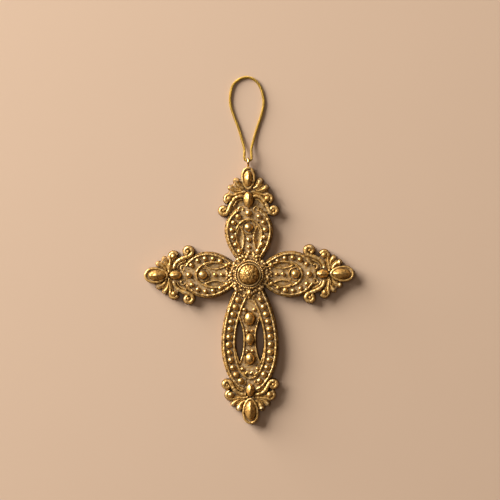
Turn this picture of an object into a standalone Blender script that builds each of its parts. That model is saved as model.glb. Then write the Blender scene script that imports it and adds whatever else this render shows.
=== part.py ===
"""Cross ornament: a cast cross with petal arms, a small wire eye and a cord loop.

The cross lies on its flat back. +Y runs up the cross to the eye, +X across it,
+Z out of its face. It is modelled about the centre boss and moved at the end, so that
the origin lies under the middle of the cross with its eye. All lengths in metres.
An arm is described in its own pair of distances: "out" runs from the centre of the
cross along the arm and "side" runs across it, and every arm is symmetric in "side".
"""
import math

import bmesh
import bpy
from mathutils import Matrix, Vector

# heights above the back
FLOOR = 0.0034             # top of the petal plates
WEB = 0.0028               # top of the sheet between the scrolls
RIM_AXIS = 0.0038          # centre line of the rims round the petals
SCROLL_AXIS = 0.0034       # centre line of the scrolls and leaves
DOME_TOP = 0.0090          # top of the centre dome

# ridges, beads
RIM_RADIUS = 0.00085
INNER_RIM_RADIUS = 0.00050
SCROLL_RADIUS = 0.00085
LEAF_RADIUS = 0.00070
POD_RIM_RADIUS = 0.00085
BEAD_RISE = 0.00025        # centre of a bead above the floor
RIM_STEP = 0.0036          # length of one straight piece of a rim
SCROLL_STEP = 0.0016       # the same in a scroll
PLATE_INSET = 0.00015      # plate edge inside the outline
RIM_INSET = 0.00075        # rim centre line inside the outline

# centre boss, turned about Z
DOME_RADIUS = 0.0047
DOME_FOOT = 0.0056
COLLAR_RADIUS = 0.0052
COLLAR_TOP = 0.0061
GRAIN_RING_RADIUS = 0.0064
GRAIN_RING_TOP = 0.0061
DISC_RADIUS = 0.0092
DISC_TOP = 0.0047
BOSS_STEPS = 28
FACES_KEPT = 0.58          # share of the joined mesh's triangles that its shape needs
SUNK = 0.0010              # how far the shapes start below the back, before it is cut flat

# hanging eye
EYE_WIRE = 0.0011
EYE_RING_RADIUS = 0.00155  # to the middle of the wire
EYE_GAP = 0.0003           # between the end of the cross and the ring
SHANK_DEPTH = 0.0050       # how deep the shank sits
SHANK_CLEARANCE = 0.0003   # all round the shank and past its end
EYE_HEIGHT = 0.0026        # the shank's axis above the back

# cord loop
CORD_DIAMETER = 0.00085
CORD_GAP = 0.0003          # between the two ends, and from cord to eye wire
CORD_STEP = 0.0019

# outlines: widest half width, where it is widest, reach towards the centre, reach out
# terminals: pod and seed as (start, end, half width), scrolls as (side, out, radius)
TOP_ARM = {
    "turn": 0.0,
    "outline": (0.0111, 0.0210, 0.0197, 0.0112),
    "inner_rim": (0.0061, 0.0190, 0.01265, 0.0069),
    "inner_rim_start": 0.0075,
    "border": {"inset": 0.0033, "first": 0.0109, "last": 0.0272, "pitch": 0.0035, "radius": 0.00130},
    "recess": {"side": 0.0041, "out": 0.0165, "half_length": 0.0058, "half_width": 0.0015, "floor": 0.0021},
    "bosses": ((0.0221, 0.00205, 0.00205),),
    "column_beads": ((0.0, 0.0163, 0.00115), (0.0, 0.0129, 0.00095), (0.0, 0.0288, 0.00155)),
    "drop": (0.0314, 0.0388, 0.0023),
    "pod": (0.0398, 0.0505, 0.00325),
    "seed": (0.0412, 0.0489, 0.0019),
    "volute": (0.0117, 0.0302, 0.0024),
    "ball": (0.0090, 0.0356, 0.0017),
    "outer_lobe": (0.0083, 0.0410, 0.0011),
    "inner_lobe": (0.0055, 0.0440, 0.0013),
    "root": 0.0388,
    "stem_root": (0.0022, 0.0366),
    "stem_bend": (0.0080, 0.0382),
}
SIDE_ARM = {
    "turn": 90.0,
    "outline": (0.0107, 0.0195, 0.0177, 0.0122),
    "inner_rim": (0.0060, 0.0165, 0.0118, 0.0083),
    "inner_rim_start": 0.0075,
    "border": {"inset": 0.0029, "first": 0.0104, "last": 0.0270, "pitch": 0.0034, "radius": 0.00115},
    "recess": {"side": 0.0043, "out": 0.0158, "half_length": 0.0044, "half_width": 0.00125, "floor": 0.0020},
    "bosses": ((0.02175, 0.00210, 0.00210),),
    "column_beads": ((0.0, 0.0160, 0.00105), (0.0, 0.0129, 0.00085), (0.0, 0.0282, 0.0014)),
    "drop": (0.0317, 0.0374, 0.0021),
    "pod": (0.0379, 0.0493, 0.0037),
    "seed": (0.0391, 0.0475, 0.0022),
    "volute": (0.0111, 0.0286, 0.0026),
    "ball": (0.0088, 0.0354, 0.0016),
    "outer_lobe": (0.0077, 0.0398, 0.0010),
    "inner_lobe": (0.0053, 0.0425, 0.0012),
    "root": 0.0376,
    "stem_root": (0.0030, 0.0353),
    "stem_bend": (0.0082, 0.0350),
}
LOWER_ARM = {
    "turn": 180.0,
    "outline": (0.0132, 0.0330, 0.0370, 0.0226),
    "inner_rim": (0.0073, 0.0330, 0.0250, 0.0158),
    "inner_rim_start": 0.0092,
    "border": {"inset": 0.0034, "first": 0.0118, "last": 0.0500, "pitch": 0.0035, "radius": 0.00145},
    "recess": {"side": 0.00485, "out": 0.0309, "half_length": 0.0105, "half_width": 0.00205, "floor": None},
    "bosses": ((0.0207, 0.0024, 0.0030), (0.0304, 0.0020, 0.0028), (0.0394, 0.0022, 0.0027)),
    "column_beads": ((0.0023, 0.0165, 0.00095), (0.0012, 0.0265, 0.00075), (0.0012, 0.0359, 0.00075),
                     (0.0036, 0.0443, 0.00095)),
    "drop": (0.0512, 0.0573, 0.0020),
    "pod": (0.0579, 0.0702, 0.00375),
    "seed": (0.0592, 0.0685, 0.0022),
    "volute": (0.0108, 0.0518, 0.0024),
    "ball": (0.0092, 0.0566, 0.0017),
    "outer_lobe": (0.0083, 0.0609, 0.0009),
    "inner_lobe": (0.0053, 0.0628, 0.0013),
    "root": 0.0576,
    "stem_root": (0.0022, 0.0564),
    "stem_bend": (0.0082, 0.0562),
}
ARMS = {
    "top": TOP_ARM,
    "left": SIDE_ARM,
    "lower": LOWER_ARM,
    "right": {**SIDE_ARM, "turn": 270.0},
}

# the cord's way round: out of the eye to +X, up the loop and back, resting on the surface
CORD_ROUTE = (
    (0.00140, 0.05395, 0.00260), (0.00172, 0.05530, 0.00250), (0.00160, 0.05700, 0.00215),
    (0.00170, 0.05930, 0.00145), (0.00240, 0.06220, 0.00075), (0.00394, 0.06760, 0.00047),
    (0.00617, 0.07410, 0.00046), (0.00749, 0.07940, 0.00046), (0.00735, 0.08370, 0.00046),
    (0.00594, 0.08840, 0.00046), (0.00349, 0.09160, 0.00046), (-0.00011, 0.09290, 0.00046),
    (-0.00406, 0.09180, 0.00046), (-0.00695, 0.08880, 0.00046), (-0.00818, 0.08340, 0.00046),
    (-0.00785, 0.07910, 0.00046), (-0.00640, 0.07440, 0.00046), (-0.00430, 0.06870, 0.00047),
    (-0.00240, 0.06210, 0.00075), (-0.00172, 0.05930, 0.00145), (-0.00160, 0.05700, 0.00215),
    (-0.00172, 0.05530, 0.00250), (-0.00140, 0.05395, 0.00260),
)

GOLD = (0.42, 0.27, 0.09, 1.0)
BRIGHT_GOLD = (0.60, 0.40, 0.14, 1.0)
CORD_GOLD = (0.52, 0.35, 0.08, 1.0)


# ---- shapes in the plane of an arm

def half_width(curve, out):
    widest, middle, reach_in, reach_out = curve
    if out < middle:
        return widest * (1.0 - ((middle - out) / reach_in) ** 2)
    return widest * math.sqrt(max(0.0, 1.0 - ((out - middle) / reach_out) ** 2))


def petal_half(curve, start, count=160):
    """One side of a petal, from near the centre out to its tip."""
    _, middle, _, reach_out = curve
    points = []
    for i in range(count):
        out = start + (middle - start) * i / count
        points.append((half_width(curve, out), out))
    for i in range(count + 1):
        angle = math.pi / 2.0 * i / count
        points.append((half_width(curve, middle + reach_out * math.sin(angle)), middle + reach_out * math.sin(angle)))
    return points


def inset(points, distance):
    """The same side of the petal, moved in along its normals."""
    moved = []
    for i, (side, out) in enumerate(points):
        before = points[max(i - 1, 0)]
        after = points[min(i + 1, len(points) - 1)]
        step = Vector((after[0] - before[0], after[1] - before[1])).normalized()
        new_side = side - step.y * distance
        if new_side > 0.0:
            moved.append((new_side, out + step.x * distance))
    return moved


def both_sides(points):
    """Up one side and down the other."""
    return points + [(-side, out) for side, out in reversed(points) if side > 0.0001]


def resample(points, step, closed=False):
    """Points at even distances along a dense line."""
    line = [Vector(p) for p in points]
    if closed:
        line.append(line[0])
    lengths = [0.0]
    for a, b in zip(line, line[1:]):
        lengths.append(lengths[-1] + (b - a).length)
    count = max(2, round(lengths[-1] / step))
    result = []
    k = 0
    for i in range(count if closed else count + 1):
        target = lengths[-1] * i / count
        while k < len(lengths) - 2 and lengths[k + 1] < target:
            k += 1
        share = (target - lengths[k]) / max(lengths[k + 1] - lengths[k], 1e-12)
        result.append(line[k].lerp(line[k + 1], min(share, 1.0)))
    return result


def bezier(a, b, c, d, count=24):
    points = []
    for i in range(count):
        t = i / count
        points.append(tuple((1 - t) ** 3 * p + 3 * (1 - t) ** 2 * t * q + 3 * (1 - t) * t * t * r + t ** 3 * s
                            for p, q, r, s in zip(a, b, c, d)))
    return points


def smooth_line(points, count=12):
    """Catmull-Rom line through the points."""
    ends = [Vector(points[0]) * 2 - Vector(points[1])]
    ends += [Vector(p) for p in points]
    ends.append(Vector(points[-1]) * 2 - Vector(points[-2]))
    line = []
    for a, b, c, d in zip(ends, ends[1:], ends[2:], ends[3:]):
        for i in range(count):
            t = i / count
            line.append(0.5 * (2 * b + (c - a) * t + (2 * a - 5 * b + 4 * c - d) * t * t
                               + (3 * b - a - 3 * c + d) * t ** 3))
    line.append(ends[-2])
    return line


def volute_line(arm):
    """A stem that leaves the root, bends down and curls up into a spiral."""
    side, out, radius = arm["volute"]
    turn_radius = radius - SCROLL_RADIUS * 0.6
    first, swept = math.radians(-125.0), math.radians(285.0)
    start = (side + turn_radius * math.cos(first), out + turn_radius * math.sin(first))
    pull = turn_radius * 1.2
    before = (start[0] + math.sin(first) * pull, start[1] - math.cos(first) * pull)
    line = bezier(arm["stem_root"], arm["stem_bend"], before, start)
    for i in range(49):
        share = i / 48
        reach = turn_radius * (1.0 - 0.42 * share)
        angle = first + swept * share
        line.append((side + reach * math.cos(angle), out + reach * math.sin(angle)))
    return line


def leaf_line(arm):
    """A leaf's crest from the root, out and round the far side of its ball."""
    side, out, radius = arm["ball"]
    reach = radius + LEAF_RADIUS * 0.3
    first, swept = math.radians(105.0), math.radians(-170.0)
    start = (side + reach * math.cos(first), out + reach * math.sin(first))
    before = (start[0] - math.sin(first) * reach * 1.3, start[1] + math.cos(first) * reach * 1.3)
    root = (0.0014, arm["root"])
    line = bezier(root, (root[0] + radius * 1.2, root[1] + radius * 0.3), before, start)
    for i in range(25):
        angle = first + swept * i / 24
        line.append((side + reach * math.cos(angle), out + reach * math.sin(angle)))
    return line


def finger(arm, lobe, sign):
    """A long seed that runs from near the root to the end of a lobe."""
    side, out, radius = arm[lobe]
    reach_side, reach_out = side - 0.0010, out - arm["root"]
    length = math.hypot(reach_side, reach_out) + radius
    start = 0.34
    middle = (0.0010 + reach_side * (start + 1.0) / 2.0, arm["root"] + reach_out * (start + 1.0) / 2.0)
    lean = math.degrees(math.atan2(-reach_side * sign, reach_out))
    return (placed(arm, middle[0] * sign, middle[1], WEB), (radius, length * (1.0 - start) / 2.0, radius * 1.1),
            arm["turn"] + lean)


def border_beads(arm):
    """Bead centres along the border, both sides."""
    border = arm["border"]
    line = inset(petal_half(arm["outline"], border["first"] - border["inset"]), border["inset"])
    line = [p for p in line if border["first"] <= p[1] <= border["last"]]
    if line[-1][0] < border["pitch"] / 2.0:
        line.append((0.0, line[-1][1]))
    half = [tuple(p) for p in resample(line, border["pitch"])]
    return half + [(-side, out) for side, out in half if side > border["pitch"] / 4.0]


def lens(middle_side, middle_out, half_length, half_width_, count=14):
    points = []
    for sign in (1.0, -1.0):
        for i in range(count):
            along = -1.0 + 2.0 * i / count
            points.append((middle_side + sign * half_width_ * (1.0 - along * along),
                           middle_out + sign * half_length * along))
    return points


def column_line(arm):
    """The crest between a recess and the middle column."""
    recess = arm["recess"]
    off = INNER_RIM_RADIUS * 1.1
    points = []
    for i in range(31):
        along = -1.12 + 2.24 * i / 30
        points.append((recess["side"] - off - recess["half_width"] * (1.0 - along * along),
                       recess["out"] + recess["half_length"] * along))
    return points


def egg(start, end, half, count, blunt=0.18):
    """An egg outline with its blunt end outwards."""
    middle, reach = (start + end) / 2.0, (end - start) / 2.0
    points = []
    for i in range(count):
        angle = 2.0 * math.pi * i / count
        out = math.sin(angle)
        points.append((half * math.cos(angle) * (1.0 + blunt * out), middle + reach * out))
    return points


def web_outline(arm):
    """The sheet that joins scrolls, balls and lobes, one side then the other."""
    volute, ball = arm["volute"], arm["ball"]
    notch = (ball[0] - ball[2] * 0.9, (ball[1] - ball[2] + volute[1] + volute[2]) / 2.0)
    half = [
        (volute[0] - volute[2] * 1.6, volute[1] - volute[2] * 1.3),
        (volute[0], volute[1]),
        notch,
        (ball[0] + ball[2] * 0.8, ball[1]),
        (arm["outer_lobe"][0], arm["outer_lobe"][1]),
        (arm["inner_lobe"][0], arm["inner_lobe"][1]),
        (arm["pod"][2] * 0.6, (arm["pod"][0] + arm["pod"][1]) / 2.0),
    ]
    return half + [(-side, out) for side, out in reversed(half)]


def placed(arm, side, out, height):
    angle = math.radians(arm["turn"])
    return Vector((side * math.cos(angle) - out * math.sin(angle),
                   side * math.sin(angle) + out * math.cos(angle), height))


# ---- solids

def material(name, color, roughness, metallic):
    made = bpy.data.materials.new(name)
    made.use_nodes = True
    shader = made.node_tree.nodes["Principled BSDF"]
    shader.inputs["Base Color"].default_value = color
    shader.inputs["Roughness"].default_value = roughness
    shader.inputs["Metallic"].default_value = metallic
    made.diffuse_color = color
    return made


def collection(name):
    made = bpy.data.collections.new(name)
    bpy.context.scene.collection.children.link(made)
    return made


def add_object(name, mesh, group, helper=True):
    made = bpy.data.objects.new(name, mesh)
    group.objects.link(made)
    if helper:
        made.hide_render = True
        made.display_type = "WIRE"
    return made


def as_mesh(curve_object, name, group, helper=True):
    """Turn a curve into a closed mesh object with the same place."""
    bpy.context.view_layer.update()
    evaluated = curve_object.evaluated_get(bpy.context.evaluated_depsgraph_get())
    mesh = bpy.data.meshes.new_from_object(evaluated)
    body = bmesh.new()
    body.from_mesh(mesh)
    bmesh.ops.remove_doubles(body, verts=body.verts, dist=0.00001)
    bmesh.ops.recalc_face_normals(body, faces=body.faces)
    body.to_mesh(mesh)
    body.free()
    made = add_object(name, mesh, group, helper)
    made.matrix_world = curve_object.matrix_world
    bpy.data.objects.remove(curve_object)
    return made


def tube(name, points, radius, group, closed=False, taper=(1.0, 1.0), resolution=1, helper=True):
    curve = bpy.data.curves.new(name, "CURVE")
    curve.dimensions = "3D"
    curve.twist_mode = "Z_UP"
    curve.bevel_depth = radius
    curve.bevel_resolution = resolution
    curve.use_fill_caps = not closed
    spline = curve.splines.new("POLY")
    spline.points.add(len(points) - 1)
    for i, point in enumerate(points):
        spline.points[i].co = (point[0], point[1], point[2], 1.0)
        spline.points[i].radius = taper[0] + (taper[1] - taper[0]) * i / (len(points) - 1)
    spline.use_cyclic_u = closed
    holder = bpy.data.objects.new(name + "_curve", curve)
    group.objects.link(holder)
    return as_mesh(holder, name, group, helper)


def plate(name, outline, bottom, top, group):
    """A flat outline made solid between two heights."""
    curve = bpy.data.curves.new(name, "CURVE")
    curve.dimensions = "2D"
    curve.fill_mode = "BOTH"
    curve.extrude = (top - bottom) / 2.0
    spline = curve.splines.new("POLY")
    spline.points.add(len(outline) - 1)
    for point, place in zip(spline.points, outline):
        point.co = (place[0], place[1], 0.0, 1.0)
    spline.use_cyclic_u = True
    holder = bpy.data.objects.new(name + "_curve", curve)
    holder.location.z = (top + bottom) / 2.0
    group.objects.link(holder)
    return as_mesh(holder, name, group)


def balls(name, places, group, segments=6, rings=4):
    """Rounded seeds: each place is (centre, half sizes, turn about Z)."""
    body = bmesh.new()
    for centre, sizes, turn in places:
        shape = (Matrix.Translation(centre) @ Matrix.Rotation(math.radians(turn), 4, "Z")
                 @ Matrix.Diagonal((*sizes, 1.0)))
        bmesh.ops.create_uvsphere(body, u_segments=segments, v_segments=rings, radius=1.0, matrix=shape)
    mesh = bpy.data.meshes.new(name)
    body.to_mesh(mesh)
    body.free()
    return add_object(name, mesh, group)


def posts(name, places, group, segments=10):
    """Round backings behind the volutes: each place is (centre, radius)."""
    body = bmesh.new()
    bottom, top = -SUNK * 1.3, WEB + 0.0003
    for centre, radius in places:
        bmesh.ops.create_cone(body, cap_ends=True, segments=segments, radius1=radius * 1.04, radius2=radius * 0.96,
                              depth=top - bottom,
                              matrix=Matrix.Translation((centre.x, centre.y, (top + bottom) / 2.0)))
    mesh = bpy.data.meshes.new(name)
    body.to_mesh(mesh)
    body.free()
    return add_object(name, mesh, group)


def turned(name, profile, steps, group, helper=True):
    """A profile of (radius, height), top to bottom, turned about Z."""
    mesh = bpy.data.meshes.new(name)
    mesh.from_pydata([(radius, 0.0, height) for radius, height in profile],
                     [(i, i + 1) for i in range(len(profile) - 1)], [])
    made = add_object(name, mesh, group, helper)
    screw = made.modifiers.new("turn", "SCREW")
    screw.steps = steps
    screw.render_steps = steps
    screw.use_merge_vertices = True
    screw.merge_threshold = 0.00001
    return made


def boss_profile():
    points = []
    for i in range(4):
        angle = math.radians(90.0 * i / 4)
        points.append((DOME_RADIUS * math.sin(angle), DOME_FOOT + (DOME_TOP - DOME_FOOT) * math.cos(angle)))
    points[0] = (0.0, DOME_TOP)
    points.append((DOME_RADIUS, DOME_FOOT))
    points.append((COLLAR_RADIUS, COLLAR_TOP))
    groove = (COLLAR_RADIUS + GRAIN_RING_RADIUS) / 2.0
    points.append((groove, COLLAR_TOP - (COLLAR_TOP - DISC_TOP) * 0.45))
    points.append((GRAIN_RING_RADIUS, GRAIN_RING_TOP))
    points.append((GRAIN_RING_RADIUS * 1.16, DISC_TOP))
    points.append((DISC_RADIUS, DISC_TOP - 0.0006))
    points.append((DISC_RADIUS, -SUNK * 1.5))
    points.append((0.0, -SUNK * 1.5))
    return points


def petal(name, arm, parts):
    outline = arm["outline"]
    half = inset(petal_half(outline, 0.0045), PLATE_INSET)
    edge = resample(both_sides(half), RIM_STEP)
    plate(name + "_plate", [placed(arm, *p, 0.0) for p in edge], -SUNK, FLOOR, parts)
    half = inset(petal_half(outline, 0.0050), RIM_INSET)
    line = resample(both_sides(half), RIM_STEP)
    tube(name + "_rim", [placed(arm, *p, RIM_AXIS) for p in line], RIM_RADIUS, parts)
    line = resample(both_sides(petal_half(arm["inner_rim"], arm["inner_rim_start"])), RIM_STEP)
    tube(name + "_inner_rim", [placed(arm, *p, RIM_AXIS) for p in line], INNER_RIM_RADIUS, parts,
         resolution=0)
    line = resample(column_line(arm), RIM_STEP * 0.8)
    for side in (1.0, -1.0):
        tube(name + "_column_rim", [placed(arm, p[0] * side, p[1], RIM_AXIS) for p in line],
             INNER_RIM_RADIUS, parts, resolution=0)
    border = arm["border"]
    height = FLOOR + BEAD_RISE
    places = [(placed(arm, *p, height), (border["radius"],) * 3, 0.0) for p in border_beads(arm)]
    balls(name + "_border", places, parts)
    places = []
    for side, out, radius in arm["column_beads"]:
        for sign in ((1.0, -1.0) if side else (1.0,)):
            places.append((placed(arm, side * sign, out, height), (radius,) * 3, 0.0))
    balls(name + "_column_beads", places, parts)
    places = [(placed(arm, 0.0, out, height), (wide, long, wide * 1.15), arm["turn"])
              for out, wide, long in arm["bosses"]]
    balls(name + "_bosses", places, parts, 10, 6)


def terminal(name, arm, parts):
    plate(name + "_web", [placed(arm, *p, 0.0) for p in web_outline(arm)], -SUNK * 1.1, WEB, parts)
    start, end, half = arm["pod"]
    rim = egg(start + POD_RIM_RADIUS, end - POD_RIM_RADIUS, half - POD_RIM_RADIUS, 16)
    plate(name + "_pod_plate", [placed(arm, *p, 0.0) for p in egg(start, end - 0.0001, half - 0.0001, 16)],
          -SUNK * 1.2, SCROLL_AXIS + 0.0004, parts)
    tube(name + "_pod_rim", [placed(arm, *p, SCROLL_AXIS + 0.0005) for p in rim], POD_RIM_RADIUS, parts,
         closed=True)
    ovals = []
    for oval, rise in (("seed", 1.35), ("drop", 1.2)):
        start, end, half = arm[oval]
        ovals.append((placed(arm, 0.0, (start + end) / 2.0, SCROLL_AXIS), (half, (end - start) / 2.0, half * rise),
                      arm["turn"]))
    balls(name + "_ovals", ovals, parts, 8, 6)
    backings = []
    beads = []
    for sign in (1.0, -1.0):
        side, out, radius = arm["volute"]
        backings.append((placed(arm, side * sign, out, 0.0), radius))
        beads.append((placed(arm, side * sign, out, SCROLL_AXIS), (radius * 0.36,) * 3, 0.0))
        line = resample(volute_line(arm), SCROLL_STEP)
        tube(name + "_volute", [placed(arm, p[0] * sign, p[1], SCROLL_AXIS) for p in line], SCROLL_RADIUS, parts,
             taper=(0.8, 0.62))
        side, out, radius = arm["ball"]
        beads.append((placed(arm, side * sign, out, SCROLL_AXIS - 0.0001), (radius * 0.88,) * 3, 0.0))
        line = resample(leaf_line(arm), SCROLL_STEP)
        tube(name + "_leaf", [placed(arm, p[0] * sign, p[1], SCROLL_AXIS - 0.0002) for p in line], LEAF_RADIUS,
             parts, taper=(0.7, 1.0))
        for lobe in ("outer_lobe", "inner_lobe"):
            balls(name + "_" + lobe, [finger(arm, lobe, sign)], parts, 6, 4)
    posts(name + "_backings", backings, parts)
    balls(name + "_balls", beads, parts, 8, 4)


def recesses(name, arm, cutters):
    recess = arm["recess"]
    bottom = -SUNK * 3.0 if recess["floor"] is None else recess["floor"]
    for sign in (1.0, -1.0):
        outline = lens(recess["side"] * sign, recess["out"], recess["half_length"], recess["half_width"])
        plate(name + "_recess", [placed(arm, *p, 0.0) for p in outline], bottom, DOME_TOP, cutters)


def rod(name, start, end, radius, segments, group):
    """A round rod along Y."""
    body = bmesh.new()
    bmesh.ops.create_cone(body, cap_ends=True, segments=segments, radius1=radius, radius2=radius,
                          depth=(end - start).length,
                          matrix=Matrix.Translation((start + end) / 2.0) @ Matrix.Rotation(math.pi / 2.0, 4, "X"))
    mesh = bpy.data.meshes.new(name)
    body.to_mesh(mesh)
    body.free()
    return add_object(name, mesh, group)


def boolean(target, operation, operand=None, group=None, solver="EXACT"):
    cut = target.modifiers.new(operation.lower(), "BOOLEAN")
    cut.operation = operation
    cut.solver = solver
    if group is not None:
        cut.operand_type = "COLLECTION"
        cut.collection = group
    else:
        cut.object = operand
    return cut


def finished(source, name, group, look, sharp, kept=1.0):
    """The joined and cut shape as one plain mesh, its flat faces made whole."""
    bpy.context.view_layer.update()
    mesh = bpy.data.meshes.new_from_object(source.evaluated_get(bpy.context.evaluated_depsgraph_get()))
    body = bmesh.new()
    body.from_mesh(mesh)
    bmesh.ops.remove_doubles(body, verts=body.verts, dist=0.00001)
    bmesh.ops.dissolve_degenerate(body, edges=body.edges, dist=0.000005)
    bmesh.ops.dissolve_limit(body, angle_limit=math.radians(0.6), verts=body.verts, edges=body.edges)
    bmesh.ops.triangulate(body, faces=body.faces)
    body.to_mesh(mesh)
    body.free()
    made = add_object(name, mesh, group, helper=False)
    made.matrix_world = source.matrix_world
    if kept < 1.0:
        lighter = made.modifiers.new("fewer_faces", "DECIMATE")
        lighter.ratio = kept
        bpy.context.view_layer.update()
        mesh = bpy.data.meshes.new_from_object(made.evaluated_get(bpy.context.evaluated_depsgraph_get()))
        made.modifiers.clear()
        made.data = mesh
        for corner in mesh.vertices:
            if abs(corner.co.z) < 0.000001:
                corner.co.z = 0.0
    mesh.name = name
    mesh.shade_smooth()
    mesh.set_sharp_from_angle(angle=math.radians(sharp))
    mesh.materials.clear()
    mesh.materials.append(look)
    return made


def build():
    for old in list(bpy.data.objects):
        bpy.data.objects.remove(old)
    ornament = collection("cross_ornament")
    parts = collection("casting_parts")
    cutters = collection("casting_cutters")
    gold = material("antique_gold_casting", GOLD, 0.38, 0.85)
    bright = material("gold_wire", BRIGHT_GOLD, 0.28, 1.0)
    thread = material("gold_cord", CORD_GOLD, 0.55, 0.3)

    # the casting: boss, petals and terminals joined, then the recesses and the shank hole cut
    boss = turned("boss", boss_profile(), BOSS_STEPS, cutters)
    for name, arm in ARMS.items():
        petal(name, arm, parts)
        terminal(name, arm, parts)
    balls("boss_leaf", [(placed(LOWER_ARM, 0.0, DISC_RADIUS - 0.0004, FLOOR), (0.0013, 0.0019, 0.0014), 0.0)],
          parts, 6, 4)
    holes = collection("recess_cutters")
    for name, arm in ARMS.items():
        recesses(name, arm, holes)
    tip = TOP_ARM["pod"][1]
    depth = SHANK_DEPTH + SHANK_CLEARANCE
    rod("shank_hole", Vector((0.0, tip - depth, EYE_HEIGHT)), Vector((0.0, tip + SHANK_DEPTH, EYE_HEIGHT)),
        EYE_WIRE / 2.0 + SHANK_CLEARANCE, 12, holes)
    reach = LOWER_ARM["pod"][1] * 4.0
    body = bmesh.new()
    bmesh.ops.create_cube(body, size=1.0, matrix=Matrix.Translation((0.0, 0.0, -SUNK * 2.0))
                          @ Matrix.Diagonal((reach, reach, SUNK * 4.0, 1.0)))
    slab = bpy.data.meshes.new("below_the_back")
    body.to_mesh(slab)
    body.free()
    back = add_object("below_the_back", slab, cutters)
    boolean(boss, "UNION", group=parts)
    boolean(boss, "DIFFERENCE", operand=back, solver="MANIFOLD")
    boolean(boss, "DIFFERENCE", group=holes, solver="MANIFOLD")
    finished(boss, "cross_casting", ornament, gold, 35.0, FACES_KEPT)
    boss.modifiers.clear()

    # the eye: a wire ring on edge, its shank along the arm
    ring_middle = tip + EYE_GAP + EYE_RING_RADIUS + EYE_WIRE / 2.0
    bpy.ops.mesh.primitive_torus_add(major_segments=24, minor_segments=8, major_radius=EYE_RING_RADIUS,
                                     minor_radius=EYE_WIRE / 2.0, location=(0.0, ring_middle, EYE_HEIGHT),
                                     rotation=(0.0, math.pi / 2.0, 0.0))
    ring = bpy.context.object
    for owner in list(ring.users_collection):
        owner.objects.unlink(ring)
    cutters.objects.link(ring)
    ring.name = "eye_ring"
    ring.hide_render = True
    ring.display_type = "WIRE"
    shank = rod("eye_shank", Vector((0.0, tip - SHANK_DEPTH, EYE_HEIGHT)),
                Vector((0.0, ring_middle - EYE_RING_RADIUS, EYE_HEIGHT)), EYE_WIRE / 2.0, 10, cutters)
    boolean(ring, "UNION", operand=shank)
    finished(ring, "hanging_eye", ornament, bright, 50.0)
    ring.modifiers.clear()

    # the cord: both ends inside the eye, face to face
    turn = ring_middle + EYE_RING_RADIUS - EYE_WIRE / 2.0 - CORD_GAP - CORD_DIAMETER / 2.0
    start = (CORD_GAP / 2.0, turn, EYE_HEIGHT)
    end = (-CORD_GAP / 2.0, turn, EYE_HEIGHT)
    route = resample(smooth_line([start, *CORD_ROUTE, end]), CORD_STEP)
    cord = tube("cord_loop", route, CORD_DIAMETER / 2.0, ornament, resolution=2, helper=False)
    cord.data.shade_smooth()
    cord.data.set_sharp_from_angle(angle=math.radians(60.0))
    cord.data.materials.append(thread)

    # the origin goes under the middle of the cross and its eye
    top = ring_middle + EYE_RING_RADIUS + EYE_WIRE / 2.0
    for made in ornament.objects:
        made.location.y += (LOWER_ARM["pod"][1] - top) / 2.0


build()
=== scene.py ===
import math

import bmesh
import bpy
import numpy as np
from mathutils import Matrix, Vector, noise
from mathutils.bvhtree import BVHTree
from mathutils.kdtree import KDTree


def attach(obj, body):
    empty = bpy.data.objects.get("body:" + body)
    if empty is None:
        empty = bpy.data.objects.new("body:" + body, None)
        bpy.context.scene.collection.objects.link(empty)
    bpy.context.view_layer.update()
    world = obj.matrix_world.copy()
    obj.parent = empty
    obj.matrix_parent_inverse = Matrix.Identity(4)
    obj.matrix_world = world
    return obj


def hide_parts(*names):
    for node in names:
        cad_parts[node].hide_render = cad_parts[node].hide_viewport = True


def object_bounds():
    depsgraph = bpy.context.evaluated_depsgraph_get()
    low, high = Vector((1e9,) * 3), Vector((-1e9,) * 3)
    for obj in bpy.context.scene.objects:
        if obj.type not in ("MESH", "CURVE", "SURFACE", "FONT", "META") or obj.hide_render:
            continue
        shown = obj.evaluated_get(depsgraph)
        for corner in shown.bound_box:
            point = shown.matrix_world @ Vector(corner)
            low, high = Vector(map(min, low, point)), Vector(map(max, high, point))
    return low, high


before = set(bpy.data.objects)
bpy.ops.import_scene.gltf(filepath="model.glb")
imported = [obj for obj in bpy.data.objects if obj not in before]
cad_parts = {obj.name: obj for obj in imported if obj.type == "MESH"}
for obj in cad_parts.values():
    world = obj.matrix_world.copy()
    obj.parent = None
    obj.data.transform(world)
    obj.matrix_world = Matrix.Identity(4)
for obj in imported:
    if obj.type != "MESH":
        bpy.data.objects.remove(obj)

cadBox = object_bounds()
scene = bpy.context.scene
centreUp = 0.0076        # the centre boss stands this far up the cross from the origin

# An arm is drawn in two distances: "out" along it from the centre, "side" across it. All in metres.
topArm = {
    "turn": 0.0,
    "outline": (0.0111, 0.0210, 0.0197, 0.0112),        # widest, where, reach in, reach out
    "innerRim": (0.0061, 0.0190, 0.01265, 0.0069), "innerRimStart": 0.0075,
    "border": {"inset": 0.0033, "first": 0.0109, "last": 0.0272, "pitch": 0.0035, "radius": 0.00130},
    "recess": {"side": 0.0041, "out": 0.0165, "halfLength": 0.0058, "halfWidth": 0.0015,
               "floor": 0.0021, "edge": 0.0032, "crown": -0.0007},
    "bosses": ((0.0221, 0.00205, 0.00205),), "bossRing": 0.0031,
    "columnBeads": ((0.0, 0.0163, 0.00115), (0.0, 0.0129, 0.00095), (0.0, 0.0288, 0.00155)),
    "drop": (0.0314, 0.0388, 0.0023), "pod": (0.0398, 0.0505, 0.00325), "seed": (0.0412, 0.0489, 0.00235),
    "volute": (0.0117, 0.0302, 0.0024), "ball": (0.0090, 0.0356, 0.0017),
    "outerLobe": (0.0083, 0.0410, 0.0011), "innerLobe": (0.0055, 0.0440, 0.0013),
    "root": 0.0388, "openTip": 0.0048, "stemRoot": (0.0022, 0.0366), "stemBend": (0.0080, 0.0382),
}
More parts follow.
